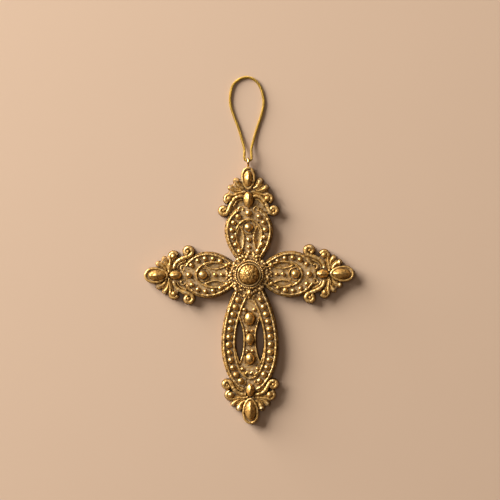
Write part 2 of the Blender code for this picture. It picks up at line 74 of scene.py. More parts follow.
sideArm = {
    "turn": 90.0,
    "outline": (0.0107, 0.0195, 0.0177, 0.0122),
    "innerRim": (0.0060, 0.0165, 0.0118, 0.0083), "innerRimStart": 0.0075,
    "border": {"inset": 0.0029, "first": 0.0104, "last": 0.0270, "pitch": 0.0034, "radius": 0.00116},
    "recess": {"side": 0.0043, "out": 0.0158, "halfLength": 0.0044, "halfWidth": 0.00125,
               "floor": 0.0020, "edge": 0.0027, "crown": 0.0005},
    "bosses": ((0.02175, 0.00210, 0.00210),), "bossRing": 0.0031,
    "columnBeads": ((0.0, 0.0160, 0.00105), (0.0, 0.0129, 0.00085), (0.0, 0.0282, 0.0014)),
    "drop": (0.0317, 0.0374, 0.0021), "pod": (0.0379, 0.0493, 0.0037), "seed": (0.0391, 0.0475, 0.0028),
    "volute": (0.0111, 0.0286, 0.0026), "ball": (0.0088, 0.0354, 0.0016),
    "outerLobe": (0.0077, 0.0398, 0.0010), "innerLobe": (0.0053, 0.0425, 0.0012),
    "root": 0.0376, "openTip": 0.0042, "stemRoot": (0.0030, 0.0353), "stemBend": (0.0082, 0.0350),
}
lowerArm = {
    "turn": 180.0,
    "outline": (0.0132, 0.0330, 0.0370, 0.0226),
    "innerRim": (0.0073, 0.0330, 0.0250, 0.0158), "innerRimStart": 0.0092,
    "border": {"inset": 0.0034, "first": 0.0118, "last": 0.0500, "pitch": 0.0035, "radius": 0.00146},
    "recess": {"side": 0.00485, "out": 0.0309, "halfLength": 0.0105, "halfWidth": 0.00205, "floor": None},
    "bosses": ((0.0207, 0.0024, 0.0030), (0.0304, 0.0020, 0.0028), (0.0394, 0.0022, 0.0027)), "bossRing": None,
    "columnBeads": ((0.0023, 0.0165, 0.00095), (0.0012, 0.0265, 0.00075), (0.0012, 0.0359, 0.00075),
                    (0.0036, 0.0443, 0.00095)),
    "drop": (0.0512, 0.0573, 0.0020), "pod": (0.0579, 0.0702, 0.00375), "seed": (0.0592, 0.0685, 0.0028),
    "volute": (0.0108, 0.0518, 0.0024), "ball": (0.0092, 0.0566, 0.0017),
    "outerLobe": (0.0083, 0.0609, 0.0009), "innerLobe": (0.0053, 0.0628, 0.0013),
    "root": 0.0576, "openTip": 0.0030, "stemRoot": (0.0022, 0.0564), "stemBend": (0.0082, 0.0562),
}
arms = {"Top": topArm, "Left": sideArm, "Lower": lowerArm, "Right": {**sideArm, "turn": 270.0}}
heights = {"floor": 0.0034, "web": 0.0028, "scroll": 0.0034}        # above the back


# lines in the plane of an arm

def halfWidth(curve, out):
    widest, middle, reachIn, reachOut = curve
    if out < middle:
        return widest * (1.0 - ((middle - out) / reachIn) ** 2)
    return widest * math.sqrt(max(0.0, 1.0 - ((out - middle) / reachOut) ** 2))


def petalHalf(curve, start, count=160):        # one side, from near the centre out to the tip
    middle, reachOut = curve[1], curve[3]
    outs = [start + (middle - start) * i / count for i in range(count)]
    outs += [middle + reachOut * math.sin(math.pi / 2.0 * i / count) for i in range(count + 1)]
    return [(halfWidth(curve, out), out) for out in outs]


def inset(points, distance):
    moved = []
    for i, (side, out) in enumerate(points):
        before, after = points[max(i - 1, 0)], points[min(i + 1, len(points) - 1)]
        step = Vector((after[0] - before[0], after[1] - before[1])).normalized()
        newSide = side - step.y * distance
        if newSide > 0.0:
            moved.append((newSide, out + step.x * distance))
    return moved


def bothSides(points):
    return points + [(-side, out) for side, out in reversed(points) if side > 0.0001]


def resample(points, step, closed=False):
    line = [Vector(p) for p in points]
    if closed:
        line.append(line[0])
    lengths = [0.0]
    for a, b in zip(line, line[1:]):
        lengths.append(lengths[-1] + (b - a).length)
    count = max(2, round(lengths[-1] / step))
    result, k = [], 0
    for i in range(count if closed else count + 1):
        target = lengths[-1] * i / count
        while k < len(lengths) - 2 and lengths[k + 1] < target:
            k += 1
        share = (target - lengths[k]) / max(lengths[k + 1] - lengths[k], 1e-12)
        result.append(line[k].lerp(line[k + 1], min(share, 1.0)))
    return result


def bezier(a, b, c, d, count=24):
    points = []
    for i in range(count):
        t = i / count
        points.append(tuple((1 - t) ** 3 * p + 3 * (1 - t) ** 2 * t * q + 3 * (1 - t) * t * t * r + t ** 3 * s
                            for p, q, r, s in zip(a, b, c, d)))
    return points


def smoothLine(points, count=12):        # Catmull-Rom through the points
    ends = [Vector(points[0]) * 2 - Vector(points[1])] + [Vector(p) for p in points]
    ends.append(Vector(points[-1]) * 2 - Vector(points[-2]))
    line = []
    for a, b, c, d in zip(ends, ends[1:], ends[2:], ends[3:]):
        for i in range(count):
            t = i / count
            line.append(0.5 * (2 * b + (c - a) * t + (2 * a - 5 * b + 4 * c - d) * t * t
                               + (3 * b - a - 3 * c + d) * t ** 3))
    line.append(ends[-2])
    return line


def arc(side, out, radius, first, last, count):
    angles = [math.radians(first + (last - first) * i / count) for i in range(count + 1)]
    return [(side + radius * math.cos(a), out + radius * math.sin(a)) for a in angles]


def lens(recess, grow=0.0, count=20):
    points = []
    length, width = recess["halfLength"] + grow * 1.6, recess["halfWidth"] + grow
    for sign in (1.0, -1.0):
        for i in range(count):
            along = -1.0 + 2.0 * i / count
            points.append((recess["side"] + sign * width * (1.0 - along * along),
                           recess["out"] + sign * length * along))
    return points


def egg(start, end, half, count, blunt=0.18):        # blunt end outwards
    middle, reach = (start + end) / 2.0, (end - start) / 2.0
    points = []
    for i in range(count):
        angle = 2.0 * math.pi * i / count
        points.append((half * math.cos(angle) * (1.0 + blunt * math.sin(angle)), middle + reach * math.sin(angle)))
    return points


def placed(arm, side, out, height):
    angle = math.radians(arm["turn"])
    return Vector((side * math.cos(angle) - out * math.sin(angle),
                   centreUp + side * math.sin(angle) + out * math.cos(angle), height))


def level(arm, points, height, sign=1.0):
    return [placed(arm, p[0] * sign, p[1], height) for p in points]


def onCircle(radius, angle, height):        # about the centre boss
    return Vector((radius * math.cos(angle), centreUp + radius * math.sin(angle), height))


def linked(name, data):
    made = bpy.data.objects.new(name, data)
    scene.collection.objects.link(made)
    return made


def meshOf(name, body, paint=None):        # turn a bmesh into a plain mesh
    mesh = bpy.data.meshes.new(name)
    body.to_mesh(mesh)
    body.free()
    if paint:
        mesh.materials.append(paint)
    return mesh


def smoothPiece(name, body, paint):
    mesh = meshOf(name, body, paint)
    mesh.shade_smooth()
    return linked(name, mesh)


# node trees: one wrapper for shader and geometry trees

class Sock:        # a socket that can be used in Python sums
    def __init__(self, bench, out):
        self.bench, self.out = bench, out

    def __add__(self, other): return self.bench.maths("ADD", self, other)
    def __radd__(self, other): return self.bench.maths("ADD", other, self)
    def __sub__(self, other): return self.bench.maths("SUBTRACT", self, other)
    def __rsub__(self, other): return self.bench.maths("SUBTRACT", other, self)
    def __mul__(self, other): return self.bench.maths("MULTIPLY", self, other)
    def __rmul__(self, other): return self.bench.maths("MULTIPLY", other, self)
    def __truediv__(self, other): return self.bench.maths("DIVIDE", self, other)


class Bench:
    def __init__(self, tree):
        self.tree = tree

    def node(self, kind, settings=None, sockets=None, out=0):
        made = self.tree.nodes.new(kind)
        for key, value in (settings or {}).items():
            if key == "stops":
                ramp = made.color_ramp
                while len(ramp.elements) < len(value):
                    ramp.elements.new(0.5)
                for element, (place, colour) in zip(ramp.elements, value):
                    element.position, element.color = place, (*colour, 1.0)
            else:
                setattr(made, key, value)
        for key, value in (sockets or {}).items():
            if isinstance(value, Sock):
                self.tree.links.new(value.out, made.inputs[key])
            else:
                made.inputs[key].default_value = value
        return Sock(self, made.outputs[out]) if made.outputs else None

    def maths(self, operation, a, b=0.0):
        return self.node("ShaderNodeMath", {"operation": operation}, {0: a, 1: b})

    def clamp(self, value):
        return self.node("ShaderNodeClamp", {}, {"Value": value})

    def blendColour(self, factor, a, b):        # a, b: sockets or plain colours
        a, b = ((*colour, 1.0) if isinstance(colour, tuple) else colour for colour in (a, b))
        return self.node("ShaderNodeMix", {"data_type": "RGBA"}, {0: factor, 6: a, 7: b}, out=2)

    def mark(self, name):        # a number kept on each vertex
        return self.node("ShaderNodeAttribute", {"attribute_name": name}, out=2)

    def place(self):
        return self.node("ShaderNodeTexCoord", out=3)

    def bump(self, strength, depth, height):
        return self.node("ShaderNodeBump", {}, {"Strength": strength, "Distance": depth, "Height": height})

    def vector(self, operation, a, b):
        return self.node("ShaderNodeVectorMath", {"operation": operation}, {0: a, 1: b})

    def over(self, value, start, gain):        # 0 up to start, then rising to 1
        return self.clamp((value - start) * gain)

    def scaled(self, vector, factor):
        return self.node("ShaderNodeVectorMath", {"operation": "SCALE"}, {0: vector, "Scale": factor})

    def speckle(self, where, size, detail=3.0, seed=0.0):        # noise whose patches are about "size" wide
        spot = self.vector("ADD", self.scaled(where, 1.0 / size), (seed, seed, seed))
        return self.node("ShaderNodeTexNoise", {}, {"Vector": spot, "Scale": 1.0, "Detail": detail})


# materials

print("materials")


def newPaint(name):
    made = bpy.data.materials.new(name)
    made.use_nodes = True
    made.node_tree.nodes.clear()
    return made, Bench(made.node_tree)


def finishPaint(bench, sockets):
    shader = bench.node("ShaderNodeBsdfPrincipled", {}, sockets)
    bench.node("ShaderNodeOutputMaterial", {}, {"Surface": shader})


antiqueGold = {
    "stops": ((0.0, (0.012, 0.005, 0.001)), (0.22, (0.043, 0.018, 0.004)), (0.37, (0.21, 0.103, 0.023)),
              (0.50, (0.46, 0.250, 0.062)), (0.70, (0.74, 0.475, 0.165)), (1.0, (0.98, 0.78, 0.46))),
    "shift": 0.0, "patchSize": 0.0014, "patches": 0.80, "grainSize": 0.00050, "grains": 0.50,
    "spotSize": 0.0010, "spotFrom": 0.56, "spotGain": 7.0, "spots": 0.42,
    "dust": (0.52, 0.380, 0.215), "dustAmount": 0.82, "dustFrom": 0.06, "dustGain": 7.0,
    "mottleSize": 0.0011, "mottleFrom": 0.38, "mottleGain": 5.0,
    "rubbedFrom": 0.38, "rubbedGain": 3.2, "rubbedRoughness": 0.38, "darkRoughness": 0.68, "grainRoughness": 0.16,
    "leastMetal": 0.12, "metal": 0.62, "specular": 0.2,
    "bump": 0.6, "bumpDepth": 0.00012, "grainBump": 0.6, "patchBump": 0.8,
}


def castGold(name, **changes):
    look = {**antiqueGold, **changes}
    made, bench = newPaint(name)
    where = bench.place()
    crest, flat = bench.mark("crest"), bench.mark("flat")
    patch = bench.speckle(where, look["patchSize"], 3.0)
    grain = bench.speckle(where, look["grainSize"], 4.0, 7.3)
    tone = bench.clamp(crest + (patch - 0.5) * look["patches"] + (grain - 0.5) * look["grains"] + look["shift"])
    # pale wash left on the open flats, broken by dark mottling and gone beside the tall beads
    mottle = bench.over(bench.speckle(where, look["mottleSize"], 4.0, 3.1), look["mottleFrom"], look["mottleGain"])
    spots = bench.over(bench.speckle(where, look["spotSize"], 3.0, 12.6), look["spotFrom"], look["spotGain"])
    tone = tone - spots * look["spots"]
    gold = bench.node("ShaderNodeValToRGB", {"stops": look["stops"]}, {0: tone})
    dusty = bench.clamp(flat * mottle * bench.over(crest, look["dustFrom"], look["dustGain"])) * look["dustAmount"]
    rubbed = bench.over(tone, look["rubbedFrom"], look["rubbedGain"])
    worn = look["darkRoughness"] - (look["darkRoughness"] - look["rubbedRoughness"]) * rubbed
    finishPaint(bench, {
        "Base Color": bench.blendColour(dusty, gold, look["dust"]),
        "Metallic": bench.clamp(look["leastMetal"] + rubbed * look["metal"]) * (1.0 - dusty),
        "Roughness": worn + (grain - 0.5) * look["grainRoughness"],
        "Normal": bench.bump(look["bump"], look["bumpDepth"], grain * look["grainBump"] + patch * look["patchBump"]),
        "Specular IOR Level": look["specular"]})
    return made


brightWire = {
    "clean": (0.80, 0.55, 0.20), "tarnished": (0.30, 0.17, 0.05), "patchSize": 0.0012, "tarnishFrom": 0.52,
    "tarnishGain": 5.0, "grainSize": 0.0002, "roughness": 0.20, "tarnishRoughness": 0.25, "grainRoughness": 0.1,
    "bump": 0.3, "bumpDepth": 0.00005,
}


def wireGold(name):
    made, bench = newPaint(name)
    where = bench.place()
    grain = bench.speckle(where, brightWire["grainSize"], 2.0, 4.0)
    tarnish = bench.over(bench.speckle(where, brightWire["patchSize"], 3.0), brightWire["tarnishFrom"],
                         brightWire["tarnishGain"])
    rough = brightWire["roughness"] + tarnish * brightWire["tarnishRoughness"]
    finishPaint(bench, {
        "Base Color": bench.blendColour(tarnish, brightWire["clean"], brightWire["tarnished"]), "Metallic": 1.0,
        "Roughness": rough + grain * brightWire["grainRoughness"],
        "Normal": bench.bump(brightWire["bump"], brightWire["bumpDepth"], grain)})
    return made


thread = {
    "dark": (0.50, 0.29, 0.024), "light": (0.95, 0.60, 0.070), "fibreSize": 0.00016,
    "shade": (0.34, 0.19, 0.018), "strandSize": 0.0008, "strandFrom": 0.38, "strandGain": 4.0,
    # the groove colour is painted shade between the plies
    "grooveShade": (0.150, 0.075, 0.008), "grooveFrom": 0.74, "grooveGain": 5.5,        # share of the cord's radius
    "glint": (1.0, 0.72, 0.18), "glintSize": 0.00042, "glintFrom": 0.50, "glintGain": 6.0, "glints": 0.4,
    "metal": 0.25, "glintMetal": 0.45, "roughness": 0.52, "glintRoughness": 0.2, "specular": 0.25,
    "bump": 0.6, "bumpDepth": 0.00006,
}


def goldThread(name):
    made, bench = newPaint(name)
    where = bench.place()
    fibre = bench.speckle(where, thread["fibreSize"], 2.0)
    strand = bench.over(bench.speckle(where, thread["strandSize"], 2.0, 5.0), thread["strandFrom"],
                        thread["strandGain"])
    glint = bench.over(bench.speckle(where, thread["glintSize"], 2.0, 9.0), thread["glintFrom"], thread["glintGain"])
    # painted shade: points nearer the cord's middle than grooveFrom of its radius take the dark groove colour
    crown = bench.over(bench.mark("proud"), thread["grooveFrom"], thread["grooveGain"])
    warm = bench.blendColour(fibre, thread["dark"], thread["light"])
    warm = bench.blendColour(crown, thread["grooveShade"], bench.blendColour(strand, thread["shade"], warm))
    finishPaint(bench, {
        "Base Color": bench.blendColour(glint * thread["glints"], warm, thread["glint"]),
        "Metallic": thread["metal"] + glint * thread["glintMetal"],
        "Roughness": thread["roughness"] - glint * thread["glintRoughness"],
        "Normal": bench.bump(thread["bump"], thread["bumpDepth"], fibre), "Specular IOR Level": thread["specular"]})
    return made


rich = {"dustAmount": 0.0,
        "stops": ((0.0, (0.012, 0.005, 0.001)), (0.22, (0.043, 0.018, 0.004)), (0.37, (0.195, 0.092, 0.018)),
                  (0.50, (0.44, 0.240, 0.062)), (0.71, (0.73, 0.46, 0.160)), (1.0, (0.98, 0.77, 0.44)))}
paints = {
    "body": castGold("castBody", shift=0.08),
    "ridge": castGold("castRidge", shift=0.10, dustAmount=0.0),
    "rim": castGold("castRim", shift=0.04, dustAmount=0.0, patches=0.85, spots=0.48),
    "pebble": castGold("castPebble", shift=0.02, dustAmount=0.70, patches=0.9),
    "bead": castGold("castBead", **rich, shift=0.03, patches=0.6, spots=0.35, metal=0.88),
    "dome": castGold("castDome", **rich, patchSize=0.0015, bump=0.8, rubbedRoughness=0.30, metal=0.85),
    "keel": castGold("castKeel", **rich, shift=0.02, patches=0.6, spots=0.35, rubbedRoughness=0.33, metal=0.88),
    "wire": wireGold("brightWire"),
    "thread": goldThread("goldThread"),
}


# camera and cord first

print("camera")
cameraPlace = {"height": 0.90, "across": 0.2347, "aim": (0.0005, 0.0191), "roll": -0.55, "plane": 0.004}


def placeCamera():
    data = bpy.data.cameras.new("camera")
    data.sensor_width = 36.0
    data.lens = 36.0 * (cameraPlace["height"] - cameraPlace["plane"]) / cameraPlace["across"]
    data.clip_start = 0.02
    holder = linked("camera", data)
    holder.location = (*cameraPlace["aim"], cameraPlace["height"])
    holder.rotation_euler = (0.0, 0.0, math.radians(cameraPlace["roll"]))
    scene.camera = holder


placeCamera()


def treeWith(name, sizes):        # sizes: label -> (socket type, value)
    tree = bpy.data.node_groups.new(name, "GeometryNodeTree")
    tree.interface.new_socket("Geometry", in_out="INPUT", socket_type="NodeSocketGeometry")
    for label, (kind, value) in sizes.items():
        socket = tree.interface.new_socket(label, in_out="INPUT", socket_type=kind)
        if value is not None:
            socket.default_value = value
    tree.interface.new_socket("Geometry", in_out="OUTPUT", socket_type="NodeSocketGeometry")
    bench = Bench(tree)
    entry = tree.nodes.new("NodeGroupInput")
    ports = {socket.name: Sock(bench, socket) for socket in entry.outputs if socket.name}
    return tree, bench, ports


def endTree(bench, shape, ports):        # every tree ends the same way
    shape = bench.node("GeometryNodeSetShadeSmooth", {}, {"Geometry": shape})
    shape = bench.node("GeometryNodeRealizeInstances", {}, {"Geometry": shape})
    shape = bench.node("GeometryNodeSetMaterial", {}, {"Geometry": shape, "Material": ports["Material"]})
    bench.node("NodeGroupOutput", {}, {"Geometry": shape})


wax = {"scale": 620.0, "detail": 4.0, "roughness": 0.62}        # the unevenness of a hand-finished wax


def wobble(bench, shape, amount, seed):
    spot = bench.vector("ADD", bench.scaled(bench.node("GeometryNodeInputPosition"), wax["scale"]), seed)
    push = bench.node("ShaderNodeTexNoise", {}, {"Vector": spot, "Scale": 1.0, "Detail": wax["detail"],
                                                 "Roughness": wax["roughness"]}, out=1)
    push = bench.scaled(bench.vector("SUBTRACT", push, (0.5, 0.5, 0.5)), amount)
    return bench.node("GeometryNodeSetPosition", {}, {"Geometry": shape, "Offset": push})


def ridgeTree():
    tree, bench, ports = treeWith("ridgeOnPath", {
        "Sides": ("NodeSocketInt", 10), "Unevenness": ("NodeSocketFloat", 0.0002), "Seed": ("NodeSocketFloat", 1.0),
        "Material": ("NodeSocketMaterial", None)})
    line = bench.node("GeometryNodeMeshToCurve", {}, {"Mesh": ports["Geometry"]})
    line = bench.node("GeometryNodeSetCurveNormal", {"mode": "Z_UP"}, {"Curve": line})
    profile = bench.node("GeometryNodeCurvePrimitiveCircle", {}, {"Resolution": ports["Sides"], "Radius": 1.0})
    thick = bench.node("GeometryNodeInputNamedAttribute", {"data_type": "FLOAT"}, {"Name": "thickness"})
    shape = bench.node("GeometryNodeCurveToMesh", {}, {"Curve": line, "Profile Curve": profile, "Scale": thick,
                                                       "Fill Caps": True})
    endTree(bench, wobble(bench, shape, ports["Unevenness"], ports["Seed"]), ports)
    return tree


def beadTree():
    tree, bench, ports = treeWith("beadsOnPath", {
        "Count": ("NodeSocketInt", 10), "Radius": ("NodeSocketFloat", 0.001), "Variation": ("NodeSocketFloat", 0.08),
        "Unevenness": ("NodeSocketFloat", 0.0002), "Seed": ("NodeSocketInt", 1),
        "Material": ("NodeSocketMaterial", None)})
    line = bench.node("GeometryNodeMeshToCurve", {}, {"Mesh": ports["Geometry"]})
    line = bench.node("GeometryNodeResampleCurve", {"mode": "COUNT"}, {"Curve": line, "Count": ports["Count"]})
    pearl = bench.node("GeometryNodeMeshUVSphere", {}, {"Segments": 14, "Rings": 9, "Radius": 1.0})
    size = bench.node("FunctionNodeRandomValue", {"data_type": "FLOAT"},
                      {2: 1.0 - ports["Variation"], 3: 1.0 + ports["Variation"], "Seed": ports["Seed"]}, out=1)
    shape = bench.node("GeometryNodeInstanceOnPoints", {}, {"Points": line, "Instance": pearl,
                                                            "Scale": size * ports["Radius"]})
    shape = bench.node("GeometryNodeRealizeInstances", {}, {"Geometry": shape})
    endTree(bench, wobble(bench, shape, ports["Unevenness"], ports["Seed"]), ports)
    return tree


def granuleTree():
    tree, bench, ports = treeWith("granulesOnPlate", {
        "Spacing": ("NodeSocketFloat", 0.0009), "Smallest": ("NodeSocketFloat", 0.0004),
        "Largest": ("NodeSocketFloat", 0.0008), "Unevenness": ("NodeSocketFloat", 0.0003),
        "Seed": ("NodeSocketInt", 1), "Material": ("NodeSocketMaterial", None)})
    points = bench.node("GeometryNodeDistributePointsOnFaces", {"distribute_method": "POISSON"}, {
        "Mesh": ports["Geometry"], "Distance Min": ports["Spacing"], "Density Max": 3000000.0, "Seed": ports["Seed"]})
    size = bench.node("FunctionNodeRandomValue", {"data_type": "FLOAT"},
                      {2: ports["Smallest"], 3: ports["Largest"], "Seed": ports["Seed"]}, out=1)
    turn = bench.node("FunctionNodeRandomValue", {"data_type": "FLOAT_VECTOR"},
                      {0: (0.0, 0.0, 0.0), 1: (0.5, 0.5, 6.28), "Seed": ports["Seed"]})
    stretch = bench.node("FunctionNodeRandomValue", {"data_type": "FLOAT"}, {2: 0.65, 3: 1.35, "Seed": 4}, out=1)
    form = bench.node("ShaderNodeCombineXYZ", {}, {0: size * stretch, 1: size / stretch, 2: size * 0.85})
    grain = bench.node("GeometryNodeMeshIcoSphere", {}, {"Radius": 1.0, "Subdivisions": 2})
    shape = bench.node("GeometryNodeInstanceOnPoints", {}, {"Points": points, "Instance": grain, "Rotation": turn,
                                                            "Scale": form})
    shape = bench.node("GeometryNodeRealizeInstances", {}, {"Geometry": shape})
    endTree(bench, wobble(bench, shape, ports["Unevenness"], ports["Seed"]), ports)
    return tree


def cordTree():
    tree, bench, ports = treeWith("twistedCord", {
        "Plies": ("NodeSocketInt", 3), "Radius": ("NodeSocketFloat", 0.0004), "Turns": ("NodeSocketFloat", 40.0),
        "Points": ("NodeSocketInt", 500), "Material": ("NodeSocketMaterial", None)})
    line = bench.node("GeometryNodeMeshToCurve", {}, {"Mesh": ports["Geometry"]})
    line = bench.node("GeometryNodeResampleCurve", {"mode": "COUNT"}, {"Curve": line, "Count": ports["Points"]})
    along = bench.node("GeometryNodeSplineParameter")
    line = bench.node("GeometryNodeSetCurveTilt", {}, {
        "Curve": line, "Tilt": along * ports["Turns"] * (2.0 * math.pi)})
    ring, ply = (bench.node("GeometryNodeCurvePrimitiveCircle", {}, {
        "Resolution": sides, "Radius": ports["Radius"] * 0.50}) for sides in (ports["Plies"], 10))
    profile = bench.node("GeometryNodeInstanceOnPoints", {}, {"Points": ring, "Instance": ply})
    profile = bench.node("GeometryNodeRealizeInstances", {}, {"Geometry": profile})
    shape = bench.node("GeometryNodeCurveToMesh", {}, {"Curve": line, "Profile Curve": profile, "Fill Caps": True})
    endTree(bench, shape, ports)
    return tree


def lineMesh(name, rows):        # rows: (points, thickness at each point, closed)
    spots, edges, thick = [], [], []
    for points, sizes, closed in rows:
        first = len(spots)
        spots += [tuple(p) for p in points]
        thick += list(sizes)
        edges += [(first + i, first + i + 1) for i in range(len(points) - 1)]
        if closed:
            edges.append((first + len(points) - 1, first))
    mesh = bpy.data.meshes.new(name)
    mesh.from_pydata(spots, edges, [])
    mesh.attributes.new("thickness", "FLOAT", "POINT").data.foreach_set("value", thick)
    return mesh


def evaluated(holder):
    bpy.context.view_layer.update()
    return bpy.data.meshes.new_from_object(holder.evaluated_get(bpy.context.evaluated_depsgraph_get()))


def plain(holder):        # keep the mesh and drop its modifiers
    mesh = evaluated(holder)
    holder.modifiers.clear()
    holder.data = mesh
    mesh.name = holder.name
    return holder


def grown(name, source, tree, values):        # run the tree once and keep the plain mesh
    holder = linked(name, source)
    grow = holder.modifiers.new("grow", "NODES")
    grow.node_group = tree
    sockets = {item.name: item.identifier for item in tree.interface.items_tree
               if item.item_type == "SOCKET" and item.in_out == "INPUT"}
    for label, value in values.items():
        grow[sockets[label]] = value
    return plain(holder)


def joined(name, parts, paint):
    body = bmesh.new()
    for part in parts:
        body.from_mesh(part.data)
    mesh = meshOf(name, body, paint)
    for part in parts:
        bpy.data.objects.remove(part)
    return linked(name, mesh)


print("cord")
eyeRing = {"gap": 0.0003, "wire": 0.0011, "radius": 0.00155, "height": 0.0026}
cordLoop = {
    "diameter": 0.0013, "solidDiameter": 0.00085, "gap": 0.0003, "plies": 3, "lay": 0.0045, "points": 620,
    "step": 0.00025,
    "route": (        # out of the eye, up the loop and back, about the centre boss
        (0.00140, 0.05395, 0.00260), (0.00172, 0.05530, 0.00250), (0.00160, 0.05700, 0.00215),
        (0.00170, 0.05930, 0.00145), (0.00240, 0.06220, 0.00075), (0.00394, 0.06760, 0.00047),
        (0.00617, 0.07410, 0.00046), (0.00749, 0.07940, 0.00046), (0.00735, 0.08370, 0.00046),
        (0.00594, 0.08840, 0.00046), (0.00349, 0.09160, 0.00046), (-0.00011, 0.09290, 0.00046),
        (-0.00406, 0.09180, 0.00046), (-0.00695, 0.08880, 0.00046), (-0.00818, 0.08340, 0.00046),
        (-0.00785, 0.07910, 0.00046), (-0.00640, 0.07440, 0.00046), (-0.00430, 0.06870, 0.00047),
        (-0.00240, 0.06210, 0.00075), (-0.00172, 0.05930, 0.00145), (-0.00160, 0.05700, 0.00215),
        (-0.00172, 0.05530, 0.00250), (-0.00140, 0.05395, 0.00260)),
}


def makeCord():
    turn = (topArm["pod"][1] + eyeRing["gap"] + eyeRing["wire"] / 2.0 + eyeRing["radius"] + eyeRing["radius"]
            - eyeRing["wire"] / 2.0 - cordLoop["gap"] - cordLoop["solidDiameter"] / 2.0)
    ends = [(sign * cordLoop["gap"] / 2.0, turn, eyeRing["height"]) for sign in (1.0, -1.0)]
    line = resample(smoothLine([ends[0], *cordLoop["route"], ends[1]]), cordLoop["step"])
    line = [Vector((p.x, p.y + centreUp, p.z)) for p in line]
    length = sum((b - a).length for a, b in zip(line, line[1:]))
    radius = cordLoop["diameter"] / 2.0
    cord = grown("twistedCord", lineMesh("cordPath", [(line, [1.0] * len(line), False)]), cordTree(), {
        "Plies": cordLoop["plies"], "Radius": radius, "Turns": length / cordLoop["lay"],
        "Points": cordLoop["points"], "Material": paints["thread"]})
    middle = KDTree(len(line))
    for i, p in enumerate(line):
        middle.insert(p, i)
    middle.balance()
    # each point's distance from the cord's middle, in radii, which places the painted shade in the thread's grooves
    proud = [middle.find(v.co)[2] / radius for v in cord.data.vertices]
    cord.data.attributes.new("proud", "FLOAT", "POINT").data.foreach_set("value", proud)
    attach(cord, "root")
    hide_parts("cord_loop")
    print("cord length", round(length, 4))


makeCord()


# cast body: plates, webs and the walls under the scrolls, fused and softened

print("body")
castBody = {
    "voxel": 0.00028, "draft": 0.00045, "rough": 0.00010, "roughScale": 900.0, "flatBelow": 0.00022,
    "scrollWidth": 0.00085, "leafWidth": 0.0007, "petalStart": 0.0045, "inset": 0.0001, "podInset": 0.0002,
    "plateStep": 0.0006, "wallStep": 0.0005, "pocketGrow": 0.0006, "lobeSteps": 10, "coneSides": 28,
    "knobs": (("volute", 0.92), ("ball", 1.0), ("outerLobe", 1.0), ("innerLobe", 1.0)),
}
curls = {
    "volute": {"first": -125.0, "sweep": 285.0, "steps": 48, "tightens": 0.42, "off": 0.6, "pull": 1.2},
    "leaf": {"first": 105.0, "sweep": -170.0, "steps": 24, "off": 0.3, "pull": 1.3, "rootSide": 0.0014},
    "lobe": {"rootSide": 0.0010, "from": 0.30, "bend": 0.10},
}


def slab(name, outlines, bottom, top):        # flat outlines, the inner ones as holes, made solid
    curve = bpy.data.curves.new(name, "CURVE")
    curve.dimensions = "2D"
    curve.fill_mode = "BOTH"
    curve.extrude = (top - bottom) / 2.0
    for outline in outlines:
        spline = curve.splines.new("POLY")
        spline.points.add(len(outline) - 1)
        for point, place in zip(spline.points, outline):
            point.co = (place[0], place[1], 0.0, 1.0)
        spline.use_cyclic_u = True
    holder = linked(name, curve)
    mesh = evaluated(holder)
    bpy.data.objects.remove(holder)
    mesh.transform(Matrix.Translation((0.0, 0.0, (top + bottom) / 2.0)))
    return mesh


def wall(body, points, halves, bottom, top):        # upright ribbon under a line
    rings = []
    for i, point in enumerate(points):
        before, after = points[max(i - 1, 0)], points[min(i + 1, len(points) - 1)]
        step = Vector((after.x - before.x, after.y - before.y)).normalized()
        across = Vector((-step.y, step.x, 0.0)) * halves[i]
        spot = Vector((point.x, point.y, 0.0))
        rings.append([body.verts.new(spot + across * side + Vector((0.0, 0.0, z)))
                      for side, z in ((1.15, bottom), (-1.15, bottom), (-0.9, top), (0.9, top))])
    for a, b in zip(rings, rings[1:]):
        for k in range(4):
            body.faces.new((a[k], a[(k + 1) % 4], b[(k + 1) % 4], b[k]))
    body.faces.new(rings[0][::-1])
    body.faces.new(rings[-1])


def voluteLine(arm):
    curl = curls["volute"]
    side, out, radius = arm["volute"]
    turnRadius = radius - castBody["scrollWidth"] * curl["off"]
    first, swept = math.radians(curl["first"]), math.radians(curl["sweep"])
    start = (side + turnRadius * math.cos(first), out + turnRadius * math.sin(first))
    pull = turnRadius * curl["pull"]
    before = (start[0] + math.sin(first) * pull, start[1] - math.cos(first) * pull)
    line = bezier(arm["stemRoot"], arm["stemBend"], before, start)
    for i in range(curl["steps"] + 1):
        share = i / curl["steps"]
        reach, angle = turnRadius * (1.0 - curl["tightens"] * share), first + swept * share
        line.append((side + reach * math.cos(angle), out + reach * math.sin(angle)))
    return line


def leafLine(arm):
    curl = curls["leaf"]
    side, out, radius = arm["ball"]
    reach = radius + castBody["leafWidth"] * curl["off"]
    first, swept = math.radians(curl["first"]), math.radians(curl["sweep"])
    start = (side + reach * math.cos(first), out + reach * math.sin(first))
    before = (start[0] - math.sin(first) * reach * curl["pull"], start[1] + math.cos(first) * reach * curl["pull"])
    root = (curl["rootSide"], arm["root"])
    line = bezier(root, (root[0] + radius * 1.2, root[1] + radius * 0.3), before, start)
    for i in range(curl["steps"] + 1):
        angle = first + swept * i / curl["steps"]
        line.append((side + reach * math.cos(angle), out + reach * math.sin(angle)))
    return line


def webOutline(arm):        # shares of the volute's and the ball's radius
    volute, ball = arm["volute"], arm["ball"]
    half = [
        (volute[0] - volute[2] * 1.6, volute[1] - volute[2] * 1.3), (volute[0], volute[1]),
        (ball[0] - ball[2] * 0.9, (ball[1] - ball[2] + volute[1] + volute[2]) / 2.0),
        (ball[0] + ball[2] * 0.8, ball[1]), arm["outerLobe"][:2], arm["innerLobe"][:2],
        (arm["pod"][2] * 0.6, (arm["pod"][0] + arm["pod"][1]) / 2.0)]
    return half + [(-side, out) for side, out in reversed(half)]


